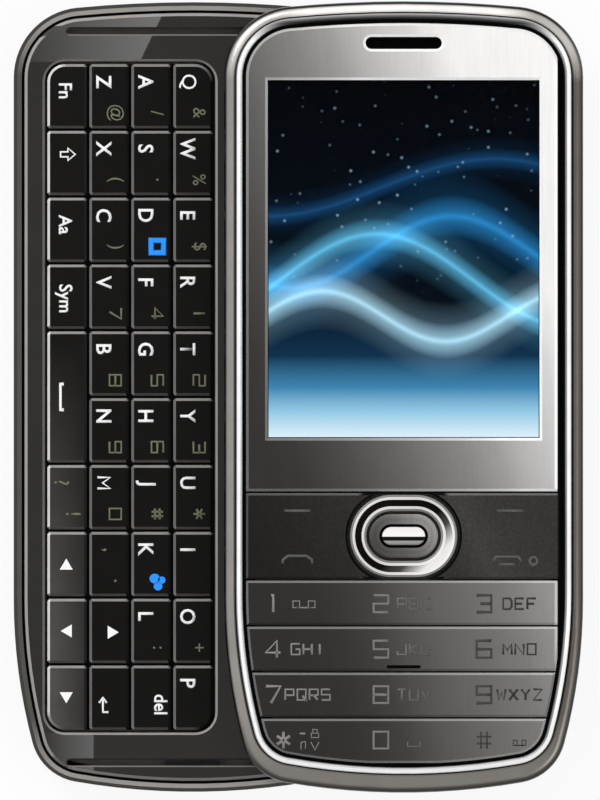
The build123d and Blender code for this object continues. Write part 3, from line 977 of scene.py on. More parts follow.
# Control plates: painted light gradient, and bevels round the pad painted black as shade.
CONTROL = ShadedMetal(
    "control_metal", grey(40), 0.4, 0.3, specular=0.1, wander=0.03, grain_depth=0.001,
    heading=(1.0, 0.5, 0.0), start=(28.8, -18.9),
    stops=((-22.0, 27), (-15.0, 32), (-6.0, 42), (5.0, 46), (9.5, 60), (14.0, 52), (22.0, 49)),
    edge_lift=0.08, speckle=0.16,
    trim=49.77, trim_line=0.0, dark_reach=7.9,
)
# Direction ring: painted reflection gradient on the chrome.
NAV = ShadedMetal(
    "nav_chrome", grey(235), 0.2, 1.0, wander=0.02, grain_depth=0.0,
    heading=(0.7, -0.7, 0.0), start=(28.8, -18.9),
    stops=((-7.0, 228), (0.0, 212), (7.0, 246)),
    edge_gain=0.3, edge_lift=0.0, edge_far=1.0, brush=0.02,
)
# Its channel: painted shade on one side and a painted glint on the other.
NAV_CHANNEL = ShadedMetal(
    "nav_channel", grey(60), 0.2, 1.0, wander=0.02, grain_depth=0.0,
    heading=(0.7, -0.7, 0.0), start=(28.8, -18.9),
    stops=((-7.0, 22), (-2.0, 16), (1.0, 18), (3.0, 70), (4.2, 165), (5.2, 232), (7.0, 240)),
    brush=0.02,
)
# Middle button: painted light gradient.
OK_SATIN = ShadedMetal(
    "ok_satin", grey(100, 8), 0.3, 0.8, wander=0.03, grain_depth=0.0,
    heading=(0.8, 0.6, 0.0), start=(28.8, -18.9),
    stops=((-4.0, 68), (0.0, 98), (4.0, 144)), edge_gain=1.2, edge_lift=0.02,
)
# Emblem: grey below, a black line across the middle, white above.
PILL = ShadedMetal(
    "ok_emblem", grey(200), 0.2, 0.8, wander=0.02, grain_depth=0.0,
    heading=(0.0, 1.0, 0.0), start=(28.8, -19.0),
    stops=((-1.2, 128), (-0.62, 160), (-0.58, 10), (-0.06, 10), (-0.02, 246), (1.2, 236)),
    edge_gain=0.9, edge_lift=0.0, brush=0.0,
)
CLEAR = ClearFinish("window_clear", WHITE, 0.01, specular=0.5, wander=0.0, grain_depth=0.0)
PANEL = Finish("display_frame", grey(8), 0.6, specular=0.02)
INK = Finish(
    "legend_white", grey(236), 0.5, specular=0.2, wander=0.04, grain_size=0.08, grain_depth=0.001
)
INK_DIM = Finish("legend_olive", tone(104, 106, 84), 0.55, specular=0.2, wander=0.08, grain_size=0.08)
INK_BLUE = Finish("legend_blue", tone(34, 140, 246), 0.5, specular=0.2, wander=0.06, grain_size=0.08)
# Grey legends that run darker across the phone, with no light on their bevels.
INK_GREY = ShadedMetal(
    "legend_grey", grey(124), 0.4, 0.3, specular=0.2, wander=0.04, grain_size=0.08,
    heading=(1.0, 0.0, 0.0), start=(10.0, 0.0),
    stops=((0.0, 134), (8.0, 118), (16.0, 114), (20.0, 92), (26.0, 70), (34.0, 48)),
    edge_gain=1.0, edge_lift=0.0, brush=0.0,
)
INK_FAINT = Finish("legend_faint", grey(84), 0.4, 0.3, specular=0.1, wander=0.04, grain_size=0.08)
GRILLE = Finish("grille_black", grey(5), 0.7, specular=0.01)
# Top of the port block, grey so it matches the shaded floor seen through the slot: painted shade.
PORT_PAINTED_SHADE = Finish("port_painted_shade", grey(78), 0.6, specular=0.1)
LENS = Finish("lens_glass", tone(10, 14, 26), 0.05, specular=0.7, coat=1.0, wander=0.02, grain_depth=0.0)
TRIM = Finish("trim_steel", grey(188), 0.2, 1.0, wander=0.03)


class Bench:
    """Modelling calls that several sub-assemblies share.

    Attributes:
        made: Materials that are made already, by name.
        merge: Distance within which points of a new piece are one.
        node_merge: Distance within which points of a copied CAD node are one.
        edge: Width of the bevel on small new pieces.
    """

    made: dict[str, bpy.types.Material] = {}
    merge: float = 0.0002
    node_merge: float = 0.0005
    edge: float = 0.12

    @classmethod
    def paint(cls, piece: Piece, *finishes: Finish | ScreenPicture) -> None:
        """Give a piece its finishes, one slot each.

        Args:
            piece: Piece to paint.
            finishes: Finish of each slot.
        """
        piece.data.materials.clear()
        for finish in finishes:
            if finish.name not in cls.made:
                cls.made[finish.name] = finish.make()
            piece.data.materials.append(cls.made[finish.name])

    @classmethod
    def paint_node(cls, node: str, finish: Finish) -> None:
        """Paint a CAD node that keeps its shape."""
        cls.paint(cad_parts[node], finish)

    @staticmethod
    def pick(*pieces: Piece) -> None:
        """Select only these pieces, the last one active.

        Args:
            pieces: Pieces to select.
        """
        bpy.ops.object.select_all(action="DESELECT")
        for piece in pieces:
            piece.select_set(True)
            bpy.context.view_layer.objects.active = piece

    @staticmethod
    def put(piece: Piece, half: Half | str, slot: str, *nodes: str) -> None:
        """Ride a piece on its body and hide the CAD nodes it stands for.

        Args:
            piece: Finished piece.
            half: Body that carries it.
            slot: Material slot of the record; not used.
            nodes: CAD nodes that it replaces.
        """
        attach(piece, half.value if isinstance(half, Half) else half)
        if nodes:
            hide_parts(*nodes)
        LOG.info("piece %s: %d faces", piece.name, len(piece.data.polygons))

    @classmethod
    def apply(cls, piece: Piece, kind: str, **settings: object) -> None:
        """Add a modifier and apply it.

        Args:
            piece: Piece to change.
            kind: Modifier type.
            settings: Properties of the modifier.
        """
        cls.pick(piece)
        modifier = piece.modifiers.new(kind.title(), kind)
        for key, value in settings.items():
            setattr(modifier, key, value)
        bpy.ops.object.modifier_apply(modifier=modifier.name)

    @classmethod
    def smooth(cls, piece: Piece, angle: float = 35.0) -> None:
        """Shade a piece smooth up to an angle, keeping flat faces flat.

        Args:
            piece: Piece to shade.
            angle: That angle in degrees.
        """
        cls.pick(piece)
        bpy.ops.object.shade_smooth_by_angle(angle=math.radians(angle))
        cls.apply(piece, "WEIGHTED_NORMAL", keep_sharp=True)

    @classmethod
    @contextmanager
    def editing(cls, piece: Piece) -> Iterator[None]:
        """Edit mode on one piece, with all of it selected.

        Args:
            piece: Piece to edit.

        Yields:
            None, while edit mode is on.
        """
        cls.pick(piece)
        bpy.ops.object.mode_set(mode="EDIT")
        bpy.ops.mesh.select_all(action="SELECT")
        yield
        bpy.ops.object.mode_set(mode="OBJECT")

    @classmethod
    @contextmanager
    def editing_faces(cls, piece: Piece, wanted: Callable[[Face], bool]) -> Iterator[None]:
        """Edit mode on one piece, with only some of its faces selected.

        Args:
            piece: Piece to edit.
            wanted: Test that a face has to pass.

        Yields:
            None, while edit mode is on.
        """
        cls.pick(piece)
        bpy.ops.object.mode_set(mode="EDIT")
        bpy.ops.mesh.select_mode(type="FACE")
        bpy.ops.mesh.select_all(action="DESELECT")
        bpy.ops.object.mode_set(mode="OBJECT")
        for face in piece.data.polygons:
            face.select = wanted(face)
        bpy.ops.object.mode_set(mode="EDIT")
        yield
        bpy.ops.object.mode_set(mode="OBJECT")

    @classmethod
    def outward(cls, piece: Piece) -> None:
        """Merge a new piece's doubles and turn all its faces outwards.

        Args:
            piece: Piece to mend.
        """
        with cls.editing(piece):
            bpy.ops.mesh.remove_doubles(threshold=cls.merge * MM)
            bpy.ops.mesh.normals_make_consistent(inside=False)

    @classmethod
    def copy_node(cls, node: str, name: str) -> Piece:
        """Copy a CAD node as one merged, smooth-shaded mesh.

        Args:
            node: CAD node.
            name: Name of the copy.

        Returns:
            The copy, not yet riding on a body.
        """
        piece = bpy.data.objects.new(name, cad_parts[node].data.copy())
        piece.data.name = name
        bpy.context.scene.collection.objects.link(piece)
        with cls.editing(piece):
            bpy.ops.mesh.customdata_custom_splitnormals_clear()
            bpy.ops.mesh.remove_doubles(threshold=cls.node_merge * MM)
        cls.smooth(piece)
        return piece

    @classmethod
    def dress(cls, node: str, name: str, half: Half | str, slot: str, *finishes: Finish) -> Piece:
        """Let a smooth, painted copy stand for a CAD node.

        Args:
            node: CAD node.
            name: Name of the copy.
            half: Body that carries it.
            slot: Material slot of the record.
            finishes: Finish of each slot of the mesh.

        Returns:
            The copy.
        """
        piece = cls.copy_node(node, name)
        cls.paint(piece, *finishes)
        cls.put(piece, half, slot, node)
        return piece

    @staticmethod
    def add(name: str, primitive: Callable[..., set[str]], **settings: object) -> Piece:
        """Add a primitive with nothing else selected, and name it.

        Args:
            name: Name of the new piece.
            primitive: Operator that adds it.
            settings: Settings of the operator, in metres.

        Returns:
            The new piece.
        """
        bpy.ops.object.select_all(action="DESELECT")
        primitive(**settings)
        piece = bpy.context.object
        piece.name = piece.data.name = name
        return piece

    @staticmethod
    def shift(piece: Piece, x: float, y: float, z: float) -> None:
        """Move a piece's mesh by millimetres."""
        piece.data.transform(Matrix.Translation((x * MM, y * MM, z * MM)))

    @classmethod
    def block(cls, name: str, size: Point, spot: Point) -> Piece:
        """Add a block about a place, as the start of a piece or of a cutter.

        Args:
            name: Name of the block.
            size: Lengths along the axes.
            spot: Its middle.

        Returns:
            The block.
        """
        piece = cls.add(name, bpy.ops.mesh.primitive_cube_add, size=1.0)
        piece.data.transform(Matrix.Diagonal((*(length * MM for length in size), 1.0)))
        cls.shift(piece, *spot)
        return piece

    @classmethod
    def rounded_block(cls, name: str, size: Point, spot: Point, segments: int) -> Piece:
        """Add a block whose edges are rounded, as in block.

        Args:
            name: Name of the block.
            size: Lengths along the axes.
            spot: Its middle.
            segments: Steps of each rounded edge.

        Returns:
            The block.
        """
        piece = cls.block(name, size, spot)
        cls.apply(piece, "BEVEL", width=cls.edge * MM, segments=segments)
        cls.smooth(piece)
        return piece

    @classmethod
    def pierced_sheet(
        cls, name: str, cells: tuple[int, int], size: Spot, thickness: float, foot: Point
    ) -> Piece:
        """Add a sheet with rows of square holes.

        Args:
            name: Name of the sheet.
            cells: Holes across and along the phone.
            size: Width and length.
            thickness: Thickness of the sheet and of the bars between the holes.
            foot: Middle of its underside.

        Returns:
            The sheet.
        """
        across, along = cells
        sheet = cls.add(
            name, bpy.ops.mesh.primitive_grid_add, x_subdivisions=across, y_subdivisions=along, size=1.0
        )
        sheet.data.transform(Matrix.Diagonal((size[0] * MM, size[1] * MM, 1.0, 1.0)))
        cls.apply(sheet, "WIREFRAME", thickness=thickness * MM, use_even_offset=False, use_boundary=True)
        cls.outward(sheet)
        x, y, z = foot
        cls.shift(sheet, x, y, z + thickness / 2)
        return sheet

    @classmethod
    def cut(cls, piece: Piece, cutter: Piece, **settings: object) -> None:
        """Cut one piece's shape out of another and take the cutter away."""
        cls.apply(piece, "BOOLEAN", operation="DIFFERENCE", object=cutter, solver="EXACT", **settings)
        bpy.data.objects.remove(cutter)

    @classmethod
    def join(cls, name: str, pieces: list[Piece]) -> Piece:
        """Join pieces into one and name it.

        Args:
            name: Name of the result.
            pieces: Pieces to join.

        Returns:
            The joined piece.
        """
        cls.pick(*pieces)
        if len(pieces) > 1:
            bpy.ops.object.join()
        joined = bpy.context.view_layer.objects.active
        joined.name = joined.data.name = name
        return joined


@dataclass(frozen=True)
class Printer:
    """Makes printed signs as thin meshes.

    Attributes:
        ground: Height of the surface that is printed.
        turned: Whether the tops of the signs point to the display half.
        thickness: Height of the ink.
        sink: How far the ink reaches into its ground.
        cap_share: Height of a capital as a share of the font size.
    """

    ground: float
    turned: bool = False
    thickness: float = 0.03
    sink: float = 0.01
    cap_share: float = 0.69

    def turn(self, sign: Piece) -> None:
        """Turn a sign about the origin, where the signs are turned."""
        if self.turned:
            sign.data.transform(Matrix.Rotation(-math.pi / 2, 4, "Z"))

    def thicken(self, sign: Piece) -> None:
        """Give a flat sign its thickness, up from its plane.

        Args:
            sign: Flat sign.
        """
        Bench.outward(sign)
        with Bench.editing(sign):
            bpy.ops.mesh.extrude_region_move(
                TRANSFORM_OT_translate={"value": (0, 0, (self.thickness + self.sink) * MM)}
            )
        Bench.outward(sign)

    def centre(self, sign: Piece, spot: Spot) -> None:
        """Set the middle of a flat sign on a spot of the ground.

        Args:
            sign: Sign about the origin.
            spot: Place in plan.
        """
        places = [vertex.co for vertex in sign.data.vertices]
        low = Vector(min(place[axis] for place in places) for axis in range(3))
        high = Vector(max(place[axis] for place in places) for axis in range(3))
        middle = (low + high) / 2
        target = Vector((spot[0] * MM, spot[1] * MM, (self.ground - self.sink) * MM))
        sign.data.transform(Matrix.Translation(target - Vector((middle.x, middle.y, low.z))))

    def text(
        self, body: str, height: float, spot: Spot, finish: Finish, weight: float = 0.0, width: float = 1.0
    ) -> Piece:
        """Print characters from the built-in face.

        Args:
            body: Characters.
            height: Height of a capital.
            spot: Middle of the print in plan.
            finish: Ink.
            weight: Share by which strokes are fattened.
            width: Stretch across.

        Returns:
            The printed mesh.
        """
        sign = Bench.add("sign", bpy.ops.object.text_add)
        sign.data.body = body
        sign.data.resolution_u = 3
        sign.data.offset = weight
        bpy.ops.object.convert(target="MESH")
        sign = bpy.context.object
        scale = height / self.cap_share * MM
        sign.data.transform(Matrix.Diagonal((scale * width, scale, 1.0, 1.0)))
        self.thicken(sign)
        self.turn(sign)
        self.centre(sign, spot)
        Bench.paint(sign, finish)
        return sign

    def strokes(self, lines: Strokes, size: Spot, spot: Spot, finish: Finish, stroke: float) -> Piece:
        """Draw a sign from lines on a unit square, as flat ribbons.

        Args:
            lines: Runs of points, each from 0 to 1 across and up.
            size: Width and height of the sign.
            spot: Middle of the sign in plan.
            finish: Ink.
            stroke: Half the line width.

        Returns:
            The drawn mesh.
        """
        data = bpy.data.curves.new("sign", "CURVE")
        data.dimensions = "3D"
        data.bevel_depth = stroke * MM
        data.bevel_resolution = 1
        data.use_fill_caps = True
        for line in lines:
            spline = data.splines.new("POLY")
            closed = line[0] == line[-1] and len(line) > 2
            points = line[:-1] if closed else line
            spline.points.add(len(points) - 1)
            for point, (across, up) in zip(spline.points, points):
                point.co = ((across - 0.5) * size[0] * MM, (up - 0.5) * size[1] * MM, 0.0, 1.0)
            spline.use_cyclic_u = closed
        sign = bpy.data.objects.new("sign", data)
        bpy.context.scene.collection.objects.link(sign)
        Bench.pick(sign)
        bpy.ops.object.convert(target="MESH")
        sign = bpy.context.object
        flat = (self.thickness + self.sink) / (2 * stroke)
        sign.data.transform(Matrix.Diagonal((1.0, 1.0, flat, 1.0)))
        Bench.outward(sign)
        self.turn(sign)
        Bench.shift(sign, *spot, self.ground + (self.thickness - self.sink) / 2)
        Bench.paint(sign, finish)
        return sign


# Squared signs of the front keys, as lines on a unit square.
SQUARE: dict[str, Strokes] = {
    "0": (((0, 0), (1, 0), (1, 1), (0, 1), (0, 0)),),
    "1": (((0.5, 0), (0.5, 1), (0.2, 1)),),
    "2": (((0, 1), (1, 1), (1, 0.5), (0, 0.5), (0, 0), (1, 0)),),
    "3": (((0, 1), (1, 1), (1, 0), (0, 0)), ((0.25, 0.5), (1, 0.5))),
    "4": (((1, 0.3), (0, 0.3), (0.75, 1), (0.75, 0)),),
    "5": (((1, 1), (0, 1), (0, 0.5), (1, 0.5), (1, 0), (0, 0)),),
    "6": (((1, 1), (0, 1), (0, 0), (1, 0), (1, 0.5), (0, 0.5)),),
    "7": (((0, 1), (1, 1), (0.35, 0)),),
    "8": (((0, 0), (1, 0), (1, 1), (0, 1), (0, 0)), ((0, 0.5), (1, 0.5))),
    "9": (((0, 0), (1, 0), (1, 1), (0, 1), (0, 0.5), (1, 0.5)),),
    "A": (((0, 0), (0, 1), (1, 1), (1, 0)), ((0, 0.45), (1, 0.45))),
    "B": (
        ((0, 0), (0.9, 0), (1, 0.25), (0.9, 0.5), (1, 0.75), (0.9, 1), (0, 1), (0, 0)),
        ((0, 0.5), (0.9, 0.5)),
    ),
    "C": (((1, 1), (0, 1), (0, 0), (1, 0)),),
    "D": (((0, 0), (0.8, 0), (1, 0.25), (1, 0.75), (0.8, 1), (0, 1), (0, 0)),),
    "E": (((1, 1), (0, 1), (0, 0), (1, 0)), ((0, 0.5), (0.8, 0.5))),
    "F": (((1, 1), (0, 1), (0, 0)), ((0, 0.5), (0.8, 0.5))),
    "G": (((1, 1), (0, 1), (0, 0), (1, 0), (1, 0.5), (0.5, 0.5)),),
    "H": (((0, 0), (0, 1)), ((1, 0), (1, 1)), ((0, 0.5), (1, 0.5))),
    "I": (((0.5, 0), (0.5, 1)),),
    "J": (((1, 1), (1, 0), (0, 0), (0, 0.3)),),
    "K": (((0, 0), (0, 1)), ((1, 1), (0, 0.5), (1, 0))),
    "L": (((0, 1), (0, 0), (1, 0)),),
    "M": (((0, 0), (0, 1), (0.5, 0.4), (1, 1), (1, 0)),),
    "N": (((0, 0), (0, 1), (1, 0), (1, 1)),),
    "O": (((0, 0), (1, 0), (1, 1), (0, 1), (0, 0)),),
    "P": (((0, 0), (0, 1), (1, 1), (1, 0.45), (0, 0.45)),),
    "Q": (((0, 0), (1, 0), (1, 1), (0, 1), (0, 0)), ((0.6, 0.4), (1.1, -0.1))),
    "R": (((0, 0), (0, 1), (1, 1), (1, 0.45), (0, 0.45)), ((0.5, 0.45), (1, 0))),
    "S": (((1, 1), (0, 1), (0, 0.5), (1, 0.5), (1, 0), (0, 0)),),
    "T": (((0, 1), (1, 1)), ((0.5, 0), (0.5, 1))),
    "U": (((0, 1), (0, 0), (1, 0), (1, 1)),),
    "V": (((0, 1), (0.5, 0), (1, 1)),),
    "W": (((0, 1), (0.2, 0), (0.5, 0.7), (0.8, 0), (1, 1)),),
    "X": (((0, 0), (1, 1)), ((0, 1), (1, 0))),
    "Y": (((0, 1), (0.5, 0.5), (1, 1)), ((0.5, 0.5), (0.5, 0))),
    "Z": (((0, 1), (1, 1), (0, 0), (1, 0)),),
    "*": (((0.5, 0), (0.5, 1)), ((0.05, 0.25), (0.95, 0.75)), ((0.05, 0.75), (0.95, 0.25))),
    "#": (((0.3, 0), (0.3, 1)), ((0.7, 0), (0.7, 1)), ((0, 0.3), (1, 0.3)), ((0, 0.7), (1, 0.7))),
    "space": (((0, 0.5), (0, 0), (1, 0), (1, 0.5)),),
    "tape": (
        ((0.0, 0.15), (0.0, 0.75), (0.3, 0.75), (0.3, 0.15), (0.0, 0.15)),
        ((0.7, 0.15), (0.7, 0.75), (1.0, 0.75), (1.0, 0.15), (0.7, 0.15)),
        ((0.15, 0.15), (0.85, 0.15)),
    ),
    "lock": (
        ((0, 0), (1, 0), (1, 0.55), (0, 0.55), (0, 0)),
        ((0.2, 0.55), (0.2, 1), (0.8, 1), (0.8, 0.55)),
    ),
    "note": (((0.2, 0.1), (0.2, 0.9), (0.8, 1.0), (0.8, 0.2)),),
    "call": (((0.0, 0.0), (0.0, 0.45), (0.18, 0.95), (0.82, 0.95), (1.0, 0.45), (1.0, 0.0)),),
    "end": (
        ((0.0, 0.45), (0.12, 0.95), (0.88, 0.95), (1.0, 0.45)),
        ((0.22, 0.15), (0.78, 0.15)),
    ),
    "dash": (((0.0, 0.5), (1.0, 0.5)),),
    "ring": (
        ((0.3, 0), (0.7, 0), (1, 0.3), (1, 0.7), (0.7, 1), (0.3, 1), (0, 0.7), (0, 0.3), (0.3, 0)),
    ),
    "shift": (((0.5, 1), (1, 0.5), (0.7, 0.5), (0.7, 0), (0.3, 0), (0.3, 0.5), (0, 0.5), (0.5, 1)),),
    "enter": (((1, 0.9), (1, 0.4), (0.1, 0.4)), ((0.4, 0.75), (0.05, 0.4), (0.4, 0.05))),
}


class Place(Enum):
    """Where a letter key carries a sign, as shares of its cell from the left and the top."""

    MAIN = (0.375, 0.285)
    SECOND = (0.65, 0.75)
    MIDDLE = (0.46, 0.42)
    SHIFT = (0.52, 0.37)
    CENTRE = (0.42, 0.5)
    SYMBOL = (0.42, 0.525)
    LOW = (0.60, 0.52)
    WORD = (0.73, 0.60)
    RETURN = (0.38, 0.60)
    ARROW = (0.48, 0.5)


@dataclass
class LetterKeyboard:
    """Letter keys with their printed signs.

    Attributes:
        columns: Key names from the outer flank, each from the earpiece end down.
        pitch: Size of a cell.
        middle: Middle of the keyboard in plan.
        top: Height of the key tops.
        main_height: Height of the main letters.
        main_weight: Share by which their strokes are fattened.
        main_width: Stretch of the letters across.
        m_size: Size of the letter M, which is drawn from lines.
        m_stroke: Half its line width.
        second_height: Height of the second signs.
        square_size: Size of the squared second signs, between the middles of their lines.
        square_stroke: Half their line width.
        box_size: Size of the blue box that is the second sign of D.
        box_stroke: Half its line width.
        dots: Height of each blue dot of K, and its place from the second sign's.
        arrow_height: Height of the arrows.
        word_height: Height of the capitals of words.
        pairs: Main and second sign of each letter key.
        dim_pairs: Main and second sign of the keys where both are dim.
        arrows: Sign and place of each arrow.
        words: Word and place of each key that has one.
        drawn: Size, place and half line width of the other signs.
    """

    columns: tuple[tuple[str, ...], ...] = (
        ("function", "shift", "case", "symbol", "space", "space", "question", "up", "left", "down"),
        ("z", "x", "c", "v", "b", "n", "m", "comma", "right", "enter"),
        ("a", "s", "d", "f", "g", "h", "j", "k", "l", "delete"),
        ("q", "w", "e", "r", "t", "y", "u", "i", "o", "p"),
    )
    pitch: Spot = (5.74, 9.14)
    middle: Spot = (-8.58, 0.0)
    top: float = 8.32
    main_height: float = 2.0
    main_weight: float = 0.018
    main_width: float = 0.94
    m_size: Spot = (1.5, 1.76)
    m_stroke: float = 0.17
    second_height: float = 1.75
    square_size: Spot = (1.5, 1.6)
    square_stroke: float = 0.16
    box_size: Spot = (1.7, 1.7)
    box_stroke: float = 0.54
    dots: tuple[Point, ...] = ((1.3, -0.35, 0.3), (0.95, 0.6, 0.1), (1.1, 0.1, -0.75))
    arrow_height: float = 1.35
    word_height: float = 1.75
    pairs: dict[str, str] = field(default_factory=lambda: dict(
        q="&", w="%", e="$", r="I", t="2", y="3", u="*", o="+",
        a="/", s=".", f="4", g="5", h="6", j="#", l=":",
        z="@", x="(", c=")", v="7", b="8", n="9", m="0",
    ))
    dim_pairs: dict[str, str] = field(default_factory=lambda: dict(question="?!", comma=",."))
    arrows: dict[str, tuple[str, Place]] = field(default_factory=lambda: dict(
        up=("▲", Place.ARROW), left=("◄", Place.ARROW), down=("▼", Place.ARROW), right=("►", Place.LOW),
    ))
    words: dict[str, tuple[str, Place]] = field(default_factory=lambda: dict(
        function=("Fn", Place.MIDDLE), case=("Aa", Place.MIDDLE),
        symbol=("Sym", Place.SYMBOL), delete=("del", Place.WORD),
    ))
    drawn: dict[str, tuple[Spot, Place, float]] = field(default_factory=lambda: dict(
        shift=((1.7, 2.0), Place.SHIFT, 0.15),
        enter=((2.1, 1.5), Place.RETURN, 0.16),
        space=((3.5, 0.9), Place.CENTRE, 0.26),
    ))

    def spot(self, column: int, row: int, span: int, place: Place) -> Spot:
        """Place of a sign on the key of a cell.

        Args:
            column: Column from the outer flank.
            row: First row.
            span: Rows that the key covers.
            place: Where on the key.

        Returns:
            The place in plan.
        """
        across, down = place.value
        left = self.middle[0] + (column - len(self.columns) / 2) * self.pitch[0]
        head = self.middle[1] + (len(self.columns[0]) / 2 - row) * self.pitch[1]
        return left + across * self.pitch[0], head - down * span * self.pitch[1]

    def print_main(self, body: str, spot: Spot, finish: Finish = INK, height: float = 0.0) -> Piece:
        """Print a turned sign, in the main size if no height is given.

        Args:
            body: Characters.
            spot: Place in plan.
            finish: Ink; white signs are heavier where their outline allows.
            height: Height of a capital.

        Returns:
            The printed mesh.
        """
        weight = self.main_weight if finish is INK and body != "Q" else 0.0
        printer = Printer(self.top, turned=True)
        return printer.text(body, height or self.main_height, spot, finish, weight, self.main_width)

    def draw(self, sign: str, size: Spot, spot: Spot, finish: Finish, stroke: float) -> Piece:
        """Draw a turned sign from lines."""
        return Printer(self.top, turned=True).strokes(SQUARE[sign], size, spot, finish, stroke)

    def letter_signs(self, name: str, main: Spot, second: Spot) -> list[Piece]:
        """Make the signs of one letter's key.

        Args:
            name: Key name.
            main: Place of the letter.
            second: Place of the second sign.

        Returns:
            The printed meshes.
        """
        if name == "m":
            made = [self.draw("M", self.m_size, main, INK, self.m_stroke)]
        else:
            made = [self.print_main(name.upper(), main)]
        sign = self.pairs.get(name, "")
        if sign in SQUARE:
            made.append(self.draw(sign, self.square_size, second, INK_DIM, self.square_stroke))
        elif sign:
            made.append(self.print_main(sign, second, INK_DIM, self.second_height))
        if name == "d":
            made.append(self.draw("0", self.box_size, second, INK_BLUE, self.box_stroke))
        if name == "k":
            for height, across, up in self.dots:
                made.append(self.print_main("●", (second[0] + across, second[1] + up), INK_BLUE, height))
        return made

    def signs(self, name: str, at: dict[Place, Spot]) -> list[Piece]:
        """Make the signs of one key.

        Args:
            name: Key name.
            at: Places of signs on that key.

        Returns:
            The printed meshes.
        """
        pair = at[Place.MAIN], at[Place.SECOND]
        if name in self.arrows:
            body, place = self.arrows[name]
            return [Printer(self.top).text(body, self.arrow_height, at[place], INK)]
        if name in self.words:
            body, place = self.words[name]
            return [self.print_main(body, at[place], INK, self.word_height)]
        if name in self.drawn:
            size, place, stroke = self.drawn[name]
            return [self.draw(name, size, at[place], INK, stroke)]
        if name in self.dim_pairs:
            return [self.print_main(body, spot, INK_DIM) for body, spot in zip(self.dim_pairs[name], pair)]
        return self.letter_signs(name, *pair)

    def build(self) -> None:
        """Dress every letter key and print its signs."""
        for column, names in enumerate(self.columns):
            for row, name in enumerate(names):
                if row and names[row - 1] == name:
                    continue
                node = "key_" + name
                Bench.paint_node(node, LETTER if column else LETTER_OUTER)
                at = {place: self.spot(column, row, names.count(name), place) for place in Place}
                legend = Bench.join("legend_" + name, self.signs(name, at))
                Bench.put(legend, node, "letter_key")


